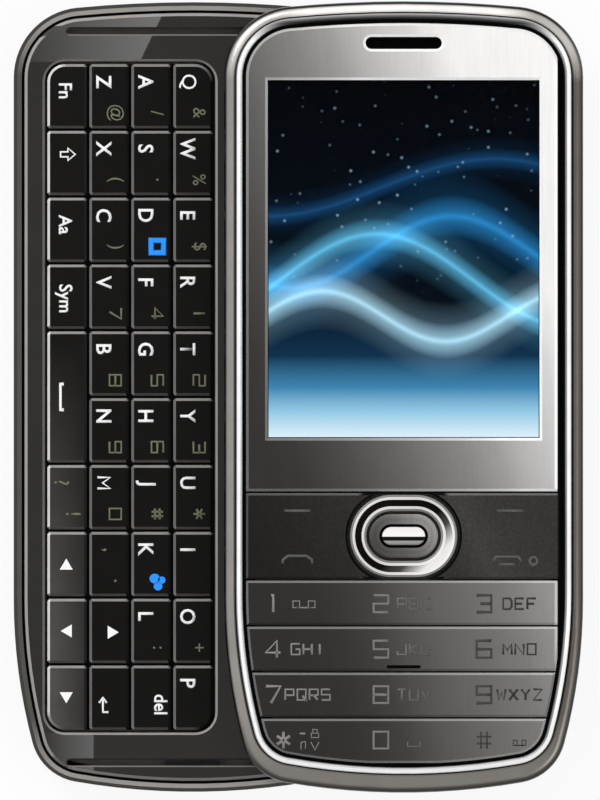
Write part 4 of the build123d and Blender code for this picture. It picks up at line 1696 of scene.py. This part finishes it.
@dataclass
class KeyboardHalf:
    """Lower half: shell, deck, board, mat and screws.

    Attributes:
        inner: Heights between which the shell's inner faces are painted black as shade.
        upright: Share of its normal along the height below which a face is a wall.
        slot_rim: Distances along the phone between which the guide slots lie.
        slot_tilt: Slopes of the bevel round a guide slot.
        screws: Plan places of the screws whose heads show at the back.
        head_bottom: Height of each screw head's face.
        cross_length: Length of the driver cross.
        cross_width: Width of the driver cross.
        cross_depth: Depth of the driver cross.
        port: Middle of the port's front.
        mouth: Width, depth and height of the port's mouth.
        tongue: Size of the contact tongue in it.
        can_top: Height of the board's underside, which the cans hang from.
        black_from: Place past which the hung parts are black.
        skin: Tolerance with which a face is told by its place.
    """

    inner: Spot = (5.0, 7.8)
    upright: float = 0.3
    slot_rim: Spot = (49.2, 50.7)
    slot_tilt: Spot = (0.3, 0.95)
    screws: tuple[Spot, ...] = ((-12.0, 47.2), (12.0, 47.2), (-12.0, -47.2), (12.0, -47.2))
    head_bottom: tuple[float, ...] = (0.0, 0.0, 1.32, 1.32)
    cross_length: float = 1.5
    cross_width: float = 0.36
    cross_depth: float = 0.35
    port: Point = (0.0, -52.8, 4.02)
    mouth: Point = (6.8, 2.2, 1.8)
    tongue: Point = (4.9, 1.7, 0.45)
    can_top: float = 5.32
    black_from: Spot = (-5.0, 30.0)
    skin: float = 0.03

    def shell(self) -> None:
        """Back shell as a smooth piece, with painted shade on its inner faces."""
        shell = Bench.dress(
            "rear_housing", "back_shell", Half.KEYBOARD, "housing_plastic", HOUSING, INSIDE
        )
        low, high = (height * MM for height in self.inner)
        for face in shell.data.polygons:
            middle, normal = face.center, face.normal
            wall = abs(normal.z) < self.upright and normal.x * middle.x + normal.y * middle.y < 0
            face.material_index = int(low < middle.z < high and (normal.z > LEVEL or wall))

    def deck(self) -> None:
        """Deck as a smooth piece, with dimmer painted light on the bevels round its guide slots."""
        deck = Bench.dress("keyboard_deck", "deck_frame", Half.KEYBOARD, "deck_gloss", DECK, SLOT_EDGE)
        near, far = (distance * MM for distance in self.slot_rim)
        low, high = self.slot_tilt
        for face in deck.data.polygons:
            face.material_index = int(low < face.normal.z < high and near < abs(face.center.y) < far)

    def board(self) -> None:
        """Circuit board with steel cans, black camera and loudspeaker, and a hollow port."""
        board = Bench.copy_node("main_board", "circuit_board")
        x, front, z = self.port
        width, depth, height = self.mouth
        Bench.cut(board, Bench.block("port_mouth", (width, 2 * depth, height), self.port))
        Bench.paint(board, BOARD, CAN_STEEL, GRILLE, PORT_PAINTED_SHADE)
        for face in board.data.polygons:
            spot = face.center / MM
            hung = spot.z < self.can_top - self.skin
            # Level tops at the board's underside height get the port's painted shade.
            shaded_top = face.normal.z > LEVEL and abs(spot.z - self.can_top) < self.skin
            black = spot.y > self.black_from[1] and spot.x > self.black_from[0]
            beside = max(abs(spot.x - x) - width / 2, abs(spot.z - z) - height / 2)
            hollow = beside < self.skin and front + self.skin < spot.y < front + depth + self.skin
            face.material_index = (2 if black or hollow else 1) if hung else 3 * int(shaded_top)
        Bench.put(board, Half.KEYBOARD, "board", "main_board")
        middle = (x, front + depth - self.tongue[1] / 2, z)
        tongue = Bench.rounded_block("port_tongue", self.tongue, middle, segments=2)
        Bench.paint(tongue, INK_DIM)
        Bench.put(tongue, Half.KEYBOARD, "board")

    def screw_heads(self) -> None:
        """Screws with driver crosses cut into their heads."""
        screws = Bench.copy_node("case_screws", "cross_screws")
        bars = []
        for (x, y), bottom in zip(self.screws, self.head_bottom):
            for size in ((self.cross_length, self.cross_width), (self.cross_width, self.cross_length)):
                bars.append(Bench.block("driver_bar", (*size, 2 * self.cross_depth), (x, y, bottom)))
        Bench.cut(screws, Bench.join("driver_crosses", bars), use_self=True)
        Bench.smooth(screws)
        Bench.paint(screws, SCREW)
        Bench.put(screws, Half.KEYBOARD, "screw_steel", "case_screws")

    def build(self) -> None:
        """Build and dress the half."""
        self.shell()
        self.deck()
        Bench.paint_node("battery", CAN)
        Bench.paint_node("key_mat", MAT)
        self.board()
        self.screw_heads()


@dataclass
class BackDetails:
    """Camera and loudspeaker sheet of the back shell.

    Attributes:
        camera: Middle of the camera.
        camera_face: Height of the camera block's face.
        ring_radius: Outer radius of the camera's trim ring.
        ring_wall: Width of the trim ring.
        ring_height: How far the ring stands off the camera block.
        lens_crown: Height of the lens as a share of its radius.
        lens_angle: Angle up to which the lens is shaded smooth.
        speaker: Middle of the loudspeaker slots.
        cloth_size: Width and length of the loudspeaker sheet.
        cloth_cells: Holes across and along it.
        cloth_foot: Height of the shell floor that carries it.
        cloth_thickness: Thickness of the sheet.
    """

    camera: Spot = (0.0, 39.5)
    camera_face: float = 0.7
    ring_radius: float = 3.1
    ring_wall: float = 0.8
    ring_height: float = 0.45
    lens_crown: float = 0.12
    lens_angle: float = 50.0
    speaker: Spot = (12.0, 38.5)
    cloth_size: Spot = (9.0, 9.0)
    cloth_cells: tuple[int, int] = (18, 18)
    cloth_foot: float = 2.12
    cloth_thickness: float = 0.12

    def camera_ring(self) -> None:
        """Bevelled trim ring on the camera block."""
        ring = Bench.add(
            "camera_ring", bpy.ops.mesh.primitive_cylinder_add,
            vertices=64, radius=self.ring_radius * MM, depth=self.ring_height * MM,
        )
        with Bench.editing_faces(ring, lambda face: abs(face.normal.z) > LEVEL):
            bpy.ops.mesh.inset(thickness=self.ring_wall * MM)
            bpy.ops.mesh.bridge_edge_loops()
        Bench.apply(ring, "BEVEL", width=Bench.edge * MM, segments=3, limit_method="ANGLE")
        Bench.smooth(ring)
        Bench.shift(ring, *self.camera, self.camera_face - self.ring_height / 2)
        Bench.paint(ring, TRIM)
        Bench.put(ring, Half.KEYBOARD, "board")

    def camera_glass(self) -> None:
        """Domed lens inside the ring."""
        radius = (self.ring_radius - self.ring_wall) * MM
        lens = Bench.add(
            "camera_lens", bpy.ops.mesh.primitive_uv_sphere_add, segments=48, ring_count=24, radius=radius
        )
        with Bench.editing(lens):
            bpy.ops.mesh.bisect(plane_co=(0, 0, 0), plane_no=UP, use_fill=True, clear_outer=True)
        lens.data.transform(Matrix.Diagonal((1.0, 1.0, self.lens_crown, 1.0)))
        Bench.smooth(lens, self.lens_angle)
        Bench.shift(lens, *self.camera, self.camera_face)
        Bench.paint(lens, LENS)
        Bench.put(lens, Half.KEYBOARD, "board")

    def speaker_cloth(self) -> None:
        """Perforated sheet behind the loudspeaker slots."""
        foot = (*self.speaker, self.cloth_foot)
        cloth = Bench.pierced_sheet(
            "speaker_cloth", self.cloth_cells, self.cloth_size, self.cloth_thickness, foot
        )
        Bench.paint(cloth, GRILLE)
        Bench.put(cloth, Half.KEYBOARD, "mat_rubber")

    def build(self) -> None:
        """Build all details of the back."""
        self.camera_ring()
        self.camera_glass()
        self.speaker_cloth()


class BackCover:
    """Sliding battery cover."""

    def build(self) -> None:
        """Dress the cover as one smooth piece."""
        Bench.dress("battery_cover", "cover_plate", Half.COVER, "cover_metal", COVER)


@dataclass
class DisplayHalf:
    """Upper half: chassis, bezel, fascia, window and display.

    Attributes:
        middle_x: Middle of the half at rest.
        wall: Heights that the ridge's inner wall spans.
        upright: Share of its normal along the height below which a face is that wall.
        window: Middle of the window.
        window_size: Window opening.
        panel_top: Height of the display panel's face.
        layer_thickness: Thickness of the picture layer on it.
        border: Width of the dark border round the picture.
        earpiece: Middle of the earpiece slot.
        earpiece_size: Width and length of the sheet below the slot.
        earpiece_cells: Holes across and along it.
        earpiece_thickness: Thickness of that sheet.
        capsule_top: Height of the earpiece capsule.
    """

    middle_x: float = 28.8
    wall: Spot = (13.6, 14.5)
    upright: float = 0.05
    window: Spot = (28.8, 18.825)
    window_size: Spot = (37.1, 48.83)
    panel_top: float = 12.92
    layer_thickness: float = 0.08
    border: float = 0.12
    earpiece: Spot = (28.8, 48.3)
    earpiece_size: Spot = (10.0, 1.5)
    earpiece_cells: tuple[int, int] = (26, 4)
    earpiece_thickness: float = 0.14
    capsule_top: float = 13.07

    def wall_distance(self, ring: Piece) -> None:
        """Write each point's distance from the ridge's inner wall into the mesh.

        Args:
            ring: Bezel mesh.
        """
        mesh = ring.data
        points = [vertex.co.copy() for vertex in mesh.vertices]
        middle = Vector((self.middle_x * MM, 0.0, 0.0))
        low, high = (height * MM for height in self.wall)
        walls = []
        for face in mesh.polygons:
            out = face.center - middle
            heights = [points[index].z for index in face.vertices]
            upright = abs(face.normal.z) < self.upright and min(heights) < high and max(heights) > low
            if upright and face.normal.x * out.x + face.normal.y * out.y < 0:
                walls.append(tuple(face.vertices))
        tree = BVHTree.FromPolygons(points, walls)
        level = (low + high) / 2
        marks = mesh.attributes.new(BEZEL.attribute, "FLOAT", "POINT")
        for vertex in mesh.vertices:
            spot = Vector((vertex.co.x, vertex.co.y, level))
            place, normal, _, gap = tree.find_nearest(spot)
            inside = (spot - place).dot(normal) > 0
            marks.data[vertex.index].value = -gap / MM if inside else gap / MM

    def bezel(self) -> None:
        """Chromed ring as one smooth piece."""
        ring = Bench.dress("bezel", "chrome_ring", Half.DISPLAY, "bezel_bright", BEZEL)
        self.wall_distance(ring)

    def screen(self) -> None:
        """Picture layer on the display panel, with a dark border."""
        size = (*self.window_size, self.layer_thickness)
        layer = Bench.block("screen_layer", size, (*self.window, self.panel_top + self.layer_thickness / 2))
        with Bench.editing_faces(layer, lambda face: face.normal.z > LEVEL):
            bpy.ops.mesh.inset(thickness=self.border * MM)
        Bench.paint(layer, GRILLE, ScreenPicture("screen_picture", self.window, self.window_size))
        for face in layer.data.polygons:
            face.material_index = int(face.select)
        Bench.put(layer, Half.DISPLAY, "display_panel")

    def grille(self) -> None:
        """Perforated sheet on the earpiece capsule."""
        foot = (*self.earpiece, self.capsule_top)
        sheet = Bench.pierced_sheet(
            "earpiece_sheet", self.earpiece_cells, self.earpiece_size, self.earpiece_thickness, foot
        )
        Bench.paint(sheet, GRILLE)
        Bench.put(sheet, Half.DISPLAY, "display_panel")

    def build(self) -> None:
        """Build and dress the half."""
        Bench.paint_node("slide_plate", SLIDE)
        Bench.paint_node("slider_back", CHASSIS)
        Bench.paint_node("display_window", CLEAR)
        Bench.paint_node("display_module", PANEL)
        self.bezel()
        Bench.dress("fascia", "front_plate", Half.DISPLAY, "fascia_metal", FASCIA)
        self.screen()
        self.grille()


@dataclass(frozen=True)
class Mark:
    """Drawn sign of a front key, besides digits and letters.

    Attributes:
        sign: Name of its lines.
        size: Width and height.
        spot: Its middle, from the middle of what it belongs to.
        stroke: Half its line width.
        column: Column of letter groups that it belongs to, on a number bar.
    """

    sign: str
    size: Spot
    spot: Spot
    stroke: float = 0.2
    column: int = 0


@dataclass
class FrontKeys:
    """Number bars, control plates, direction ring and middle button.

    Attributes:
        middle: Middle of the direction pad.
        key_top: Height of the front keys.
        row_heights: Middles of the number rows.
        digit_columns: Places of the digits across.
        star_shift: How far the star stands in from the digits above it.
        word_columns: Places of the letter groups across.
        digit_size: Size of a digit.
        one_width: Width of the digit one.
        digit_stroke: Half the line width of a digit.
        hash_stroke: Half the line width of the hash sign.
        word_size: Size of a letter in a group.
        word_stroke: Half the line width of a letter.
        word_pitch: Spacing of the letters.
        rows: Digit and letter group of each key, row by row.
        row_marks: Other signs of each row.
        plate_marks: Signs of the control plates, from the middle of the pad.
        finger_size: Size of the finger mark.
        finger_drop: How far it lies below the middle of its row.
        pill_height: Height above which the middle button's emblem stands.
        moat_height: Height below which the field round the emblem lies.
        channel: Heights between which the direction ring's channel lies.
    """

    middle: Spot = (28.8, -18.96)
    key_top: float = 14.72
    row_heights: tuple[float, ...] = (-28.2, -34.4, -40.6, -46.8)
    digit_columns: tuple[float, ...] = (11.0, 25.7, 39.75)
    star_shift: float = 1.4
    word_columns: tuple[float, ...] = (15.7, 30.2, 44.6)
    digit_size: Spot = (2.0, 2.3)
    one_width: float = 0.9
    digit_stroke: float = 0.21
    hash_stroke: float = 0.13
    word_size: Spot = (1.15, 1.45)
    word_stroke: float = 0.16
    word_pitch: float = 1.65
    rows: tuple[tuple[tuple[str, str], ...], ...] = (
        (("1", ""), ("2", "ABC"), ("3", "DEF")),
        (("4", "GHI"), ("5", "JKL"), ("6", "MNO")),
        (("7", "PQRS"), ("8", "TUV"), ("9", "WXYZ")),
        (("*", ""), ("0", ""), ("#", "")),
    )
    row_marks: tuple[tuple[Mark, ...], ...] = (
        (Mark("tape", (3.0, 1.5), (-0.5, 0.0), 0.1),),
        (),
        (),
        (
            Mark("lock", (1.0, 1.1), (1.0, 0.9), 0.09),
            Mark("dash", (0.8, 1.0), (-0.7, 0.9), 0.14),
            Mark("note", (1.0, 1.2), (-0.6, -0.8), 0.09),
            Mark("V", (1.1, 1.1), (1.0, -0.8), 0.09),
            Mark("space", (1.7, 1.3), (0.0, -0.2), 0.12, column=1),
            Mark("tape", (1.7, 1.2), (0.0, -0.3), 0.09, column=2),
        ),
    )
    plate_marks: dict[str, tuple[Mark, ...]] = field(default_factory=lambda: dict(
        call_key=(
            Mark("dash", (3.6, 1.0), (-14.5, 3.45)),
            Mark("call", (4.0, 1.1), (-14.5, -3.2)),
        ),
        end_key=(
            Mark("dash", (3.6, 1.0), (14.5, 3.45)),
            Mark("end", (3.9, 1.3), (14.1, -3.4)),
            Mark("ring", (1.0, 1.0), (17.7, -3.4)),
        ),
    ))
    finger_size: Point = (4.6, 0.42, 0.3)
    finger_drop: float = 2.4
    pill_height: float = 14.79
    moat_height: float = 14.55
    channel: Spot = (14.6, 14.8)

    def draw(self, sign: str, size: Spot, spot: Spot, stroke: float, finish: Finish = INK_GREY) -> Piece:
        """Draw one squared sign on a front key."""
        return Printer(self.key_top).strokes(SQUARE[sign], size, spot, finish, stroke)

    def word(self, body: str, x: float, y: float) -> list[Piece]:
        """Draw a letter group round a place.

        Args:
            body: Letters.
            x: Middle across.
            y: Middle along the phone.

        Returns:
            The drawn meshes.
        """
        first = x - (len(body) - 1) / 2 * self.word_pitch
        return [
            self.draw(letter, self.word_size, (first + place * self.word_pitch, y), self.word_stroke)
            for place, letter in enumerate(body)
        ]

    def draw_mark(self, mark: Mark, x: float, y: float, finish: Finish = INK_GREY) -> Piece:
        """Draw a mark that is measured from a place."""
        spot = (x + mark.spot[0], y + mark.spot[1])
        return self.draw(mark.sign, mark.size, spot, mark.stroke, finish)

    def number_bars(self) -> None:
        """Dress the number bars and draw their digits and letters."""
        for row, keys in enumerate(self.rows):
            node = f"number_row_{row + 1}"
            Bench.paint_node(node, NUMBER if row + 1 < len(self.rows) else NUMBER_FOOT)
            y = self.row_heights[row]
            signs = []
            for column, (digit, group) in enumerate(keys):
                size = self.digit_size if digit != "1" else (self.one_width, self.digit_size[1])
                x = self.digit_columns[column] + (self.star_shift if digit == "*" else 0.0)
                stroke = self.hash_stroke if digit == "#" else self.digit_stroke
                signs.append(self.draw(digit, size, (x, y), stroke))
                signs += self.word(group, self.word_columns[column], y)
            for mark in self.row_marks[row]:
                signs.append(self.draw_mark(mark, self.word_columns[mark.column], y))
            Bench.put(Bench.join(f"number_signs_{row + 1}", signs), node, "number_metal")

    def finger_mark(self) -> None:
        """Raised bar below the middle digit, to find it by touch."""
        spot = (self.middle[0], self.row_heights[1] - self.finger_drop, self.key_top)
        mark = Bench.rounded_block("finger_mark", self.finger_size, spot, segments=3)
        Bench.paint(mark, GRILLE)
        Bench.put(mark, "number_row_2", "number_metal")

    def control_plates(self) -> None:
        """Dress the control plates and draw their signs."""
        for node, marks in self.plate_marks.items():
            Bench.paint_node(node, CONTROL)
            signs = [self.draw_mark(mark, *self.middle, INK_FAINT) for mark in marks]
            Bench.put(Bench.join(node + "_signs", signs), node, "control_metal")

    def pad(self) -> None:
        """Direction ring and middle button as smooth pieces."""
        ring = Bench.dress("nav_ring", "direction_ring", "nav_ring", "nav_metal", NAV, NAV_CHANNEL)
        low, high = (height * MM for height in self.channel)
        for face in ring.data.polygons:
            face.material_index = int(face.normal.z > LEVEL and low < face.center.z < high)
        button = Bench.dress(
            "ok_button", "middle_button", "ok_button", "ok_satin", OK_SATIN, PILL, GRILLE
        )
        for face in button.data.polygons:
            if face.center.z > self.pill_height * MM:
                face.material_index = 1
            elif face.normal.z > LEVEL and face.center.z < self.moat_height * MM:
                face.material_index = 2

    def build(self) -> None:
        """Build and dress the front keys."""
        self.number_bars()
        self.finger_mark()
        self.control_plates()
        self.pad()


@dataclass(frozen=True)
class Glint:
    """Patch of light that the glossy deck mirrors from a lit card high above.

    Attributes:
        name: Name of the card.
        corners: Corners of the patch on the deck: lower left, lower right, upper left, upper right.
        dim: Light at the left edge.
        bright: Light at the right edge.
    """

    name: str
    corners: tuple[Spot, Spot, Spot, Spot]
    dim: float
    bright: float


@dataclass(frozen=True)
class Lamp:
    """Square soft lamp that looks at the phone.

    Attributes:
        name: Name of the lamp.
        spot: Place in metres.
        size: Side in metres.
        power: Power in watts.
    """

    name: str
    spot: Point
    size: float
    power: float


@dataclass
class Studio:
    """Pale floor, soft light, lit cards and the camera straight above.

    Attributes:
        centre: Middle of the picture in plan.
        focus: Height of the plane that the picture's scale holds for.
        reach: Distance of the camera from that plane.
        picture_height: Height of the picture on that plane.
        sensor: Long side of the camera's sensor.
        card_height: Height of the lit cards.
        glints: Patches of light on the deck.
        lamps: Soft lamps.
        sky_along: Directions along the phone, with the light from there.
        sky_across: How much of that is lost towards the right.
        sky_height: Directions by height, with the share of the light from overhead.
        floor_size: Side of the floor in metres.
        floor_gap: Room between the floor and the phone.
        floor_colour: Colour of the floor.
        floor_roughness: Roughness of the floor.
        floor_glow: Share of plain white in the floor where it is looked at.
    """

    centre: Spot = (14.66, -0.41)
    focus: float = 14.6
    reach: float = 2500.0
    picture_height: float = 109.12
    sensor: float = 36.0
    card_height: float = 3000.0
    glints: tuple[Glint, ...] = (
        Glint("upper_card", ((-25.0, 45.7), (-7.2, 45.7), (-25.0, 53.0), (-3.7, 53.0)), 1.0, 8.0),
        Glint("lower_card", ((-21.0, -53.4), (-13.5, -53.4), (-21.0, -45.8), (-13.5, -45.8)), 0.8, 5.6),
    )
    lamps: tuple[Lamp, ...] = (
        Lamp("key_lamp", (-0.45, 0.65, 0.9), 0.5, 5.0),
        Lamp("fill_lamp", (0.7, -0.35, 0.8), 0.6, 2.5),
    )
    sky_along: Stops = ((-1.0, 0.24), (-0.3, 0.2), (0.0, 0.22), (0.5, 0.6), (1.0, 0.95))
    sky_across: float = 0.11
    sky_height: Stops = ((0.0, 0.0), (0.3, 0.1), (0.62, 0.5), (0.85, 0.93), (1.0, 1.0))
    floor_size: float = 12.0
    floor_gap: float = 0.02
    floor_colour: Colour = (0.82, 0.82, 0.82)
    floor_roughness: float = 0.9
    floor_glow: float = 0.88

    def camera(self) -> None:
        """Camera that looks straight down."""
        data = bpy.data.cameras.new("view")
        data.sensor_width = self.sensor
        data.lens = self.sensor * self.reach / self.picture_height
        camera = bpy.data.objects.new("view", data)
        camera.location = (self.centre[0] * MM, self.centre[1] * MM, (self.focus + self.reach) * MM)
        bpy.context.scene.collection.objects.link(camera)
        bpy.context.scene.camera = camera

    def light(self, lamp: Lamp) -> None:
        """Hang one lamp.

        Args:
            lamp: Lamp to hang.
        """
        data = bpy.data.lights.new(lamp.name, "AREA")
        data.size = lamp.size
        data.energy = lamp.power
        hung = bpy.data.objects.new(lamp.name, data)
        hung.location = lamp.spot
        hung.rotation_euler = (-Vector(lamp.spot)).to_track_quat("-Z", "Y").to_euler()
        bpy.context.scene.collection.objects.link(hung)

    def sky(self) -> None:
        """World that is bright overhead and towards the earpiece end; the backdrop is white."""
        graph = SkyGraph("studio")
        x, y, up = graph.axes(graph.node("ShaderNodeTexCoord").outputs["Generated"])
        side = graph.level(y, self.sky_along)
        side = graph.sum("SUBTRACT", side, graph.sum("MULTIPLY", x, self.sky_across))
        light = graph.blend(graph.level(up, self.sky_height), side, WHITE)
        graph.shade(Color=graph.blend(graph.seen(), light, WHITE))

    def card(self, glint: Glint) -> None:
        """Lit card whose mirror image in the deck is one patch of light.

        Args:
            glint: Patch to make.
        """
        card = Bench.add(glint.name, bpy.ops.mesh.primitive_plane_add, size=1.0)
        far = 1 + self.card_height / self.reach
        places = []
        for vertex, corner in zip(card.data.vertices, glint.corners):
            x, y = (middle + (spot - middle) * far for spot, middle in zip(corner, self.centre))
            vertex.co = (x * MM, y * MM, self.card_height * MM)
            places.append(x)
        card.data.update()
        graph = Graph(glint.name)
        x, _, _ = graph.axes(graph.place())
        graph.shade(Base_Color=BLACK, Specular_IOR_Level=0.0, Emission_Color=WHITE)
        share = graph.rise(x, (min(places), max(places)))
        light = graph.sum("MULTIPLY", share, glint.bright - glint.dim)
        graph.shade(Emission_Strength=graph.sum("ADD", light, glint.dim))
        card.data.materials.append(graph.material)

    def floor(self) -> None:
        """Pale floor that keeps the shadow."""
        floor = Bench.add(
            "floor", bpy.ops.mesh.primitive_plane_add,
            size=self.floor_size, location=(0.0, 0.0, -self.floor_gap * MM),
        )
        graph = Graph("floor_white")
        graph.shade(Base_Color=self.floor_colour, Roughness=self.floor_roughness, Specular_IOR_Level=0.0)
        glow = graph.node("ShaderNodeEmission")
        mix = graph.node("ShaderNodeMixShader")
        graph.feed(mix.inputs[0], graph.sum("MULTIPLY", graph.seen(), self.floor_glow))
        graph.feed(mix.inputs[1], graph.shader.outputs[0])
        graph.feed(mix.inputs[2], glow.outputs[0])
        graph.feed(graph.nodes["Material Output"].inputs["Surface"], mix.outputs[0])
        floor.data.materials.append(graph.material)

    def build(self) -> None:
        """Set up floor, light and camera."""
        bpy.context.scene.view_settings.view_transform = "Standard"
        self.camera()
        self.sky()
        self.floor()
        for lamp in self.lamps:
            self.light(lamp)
        for glint in self.glints:
            self.card(glint)


def write_sizes() -> None:
    """Update the view layer."""
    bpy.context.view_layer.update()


def main() -> None:
    """Build every sub-assembly in order."""
    logging.basicConfig(level=logging.INFO, format="%(message)s")
    assemblies = (
        Studio(), KeyboardHalf(), BackDetails(), BackCover(), LetterKeyboard(), DisplayHalf(), FrontKeys()
    )
    for assembly in assemblies:
        LOG.info("building %s", type(assembly).__name__)
        assembly.build()
    write_sizes()


if __name__ == "__main__":
    main()
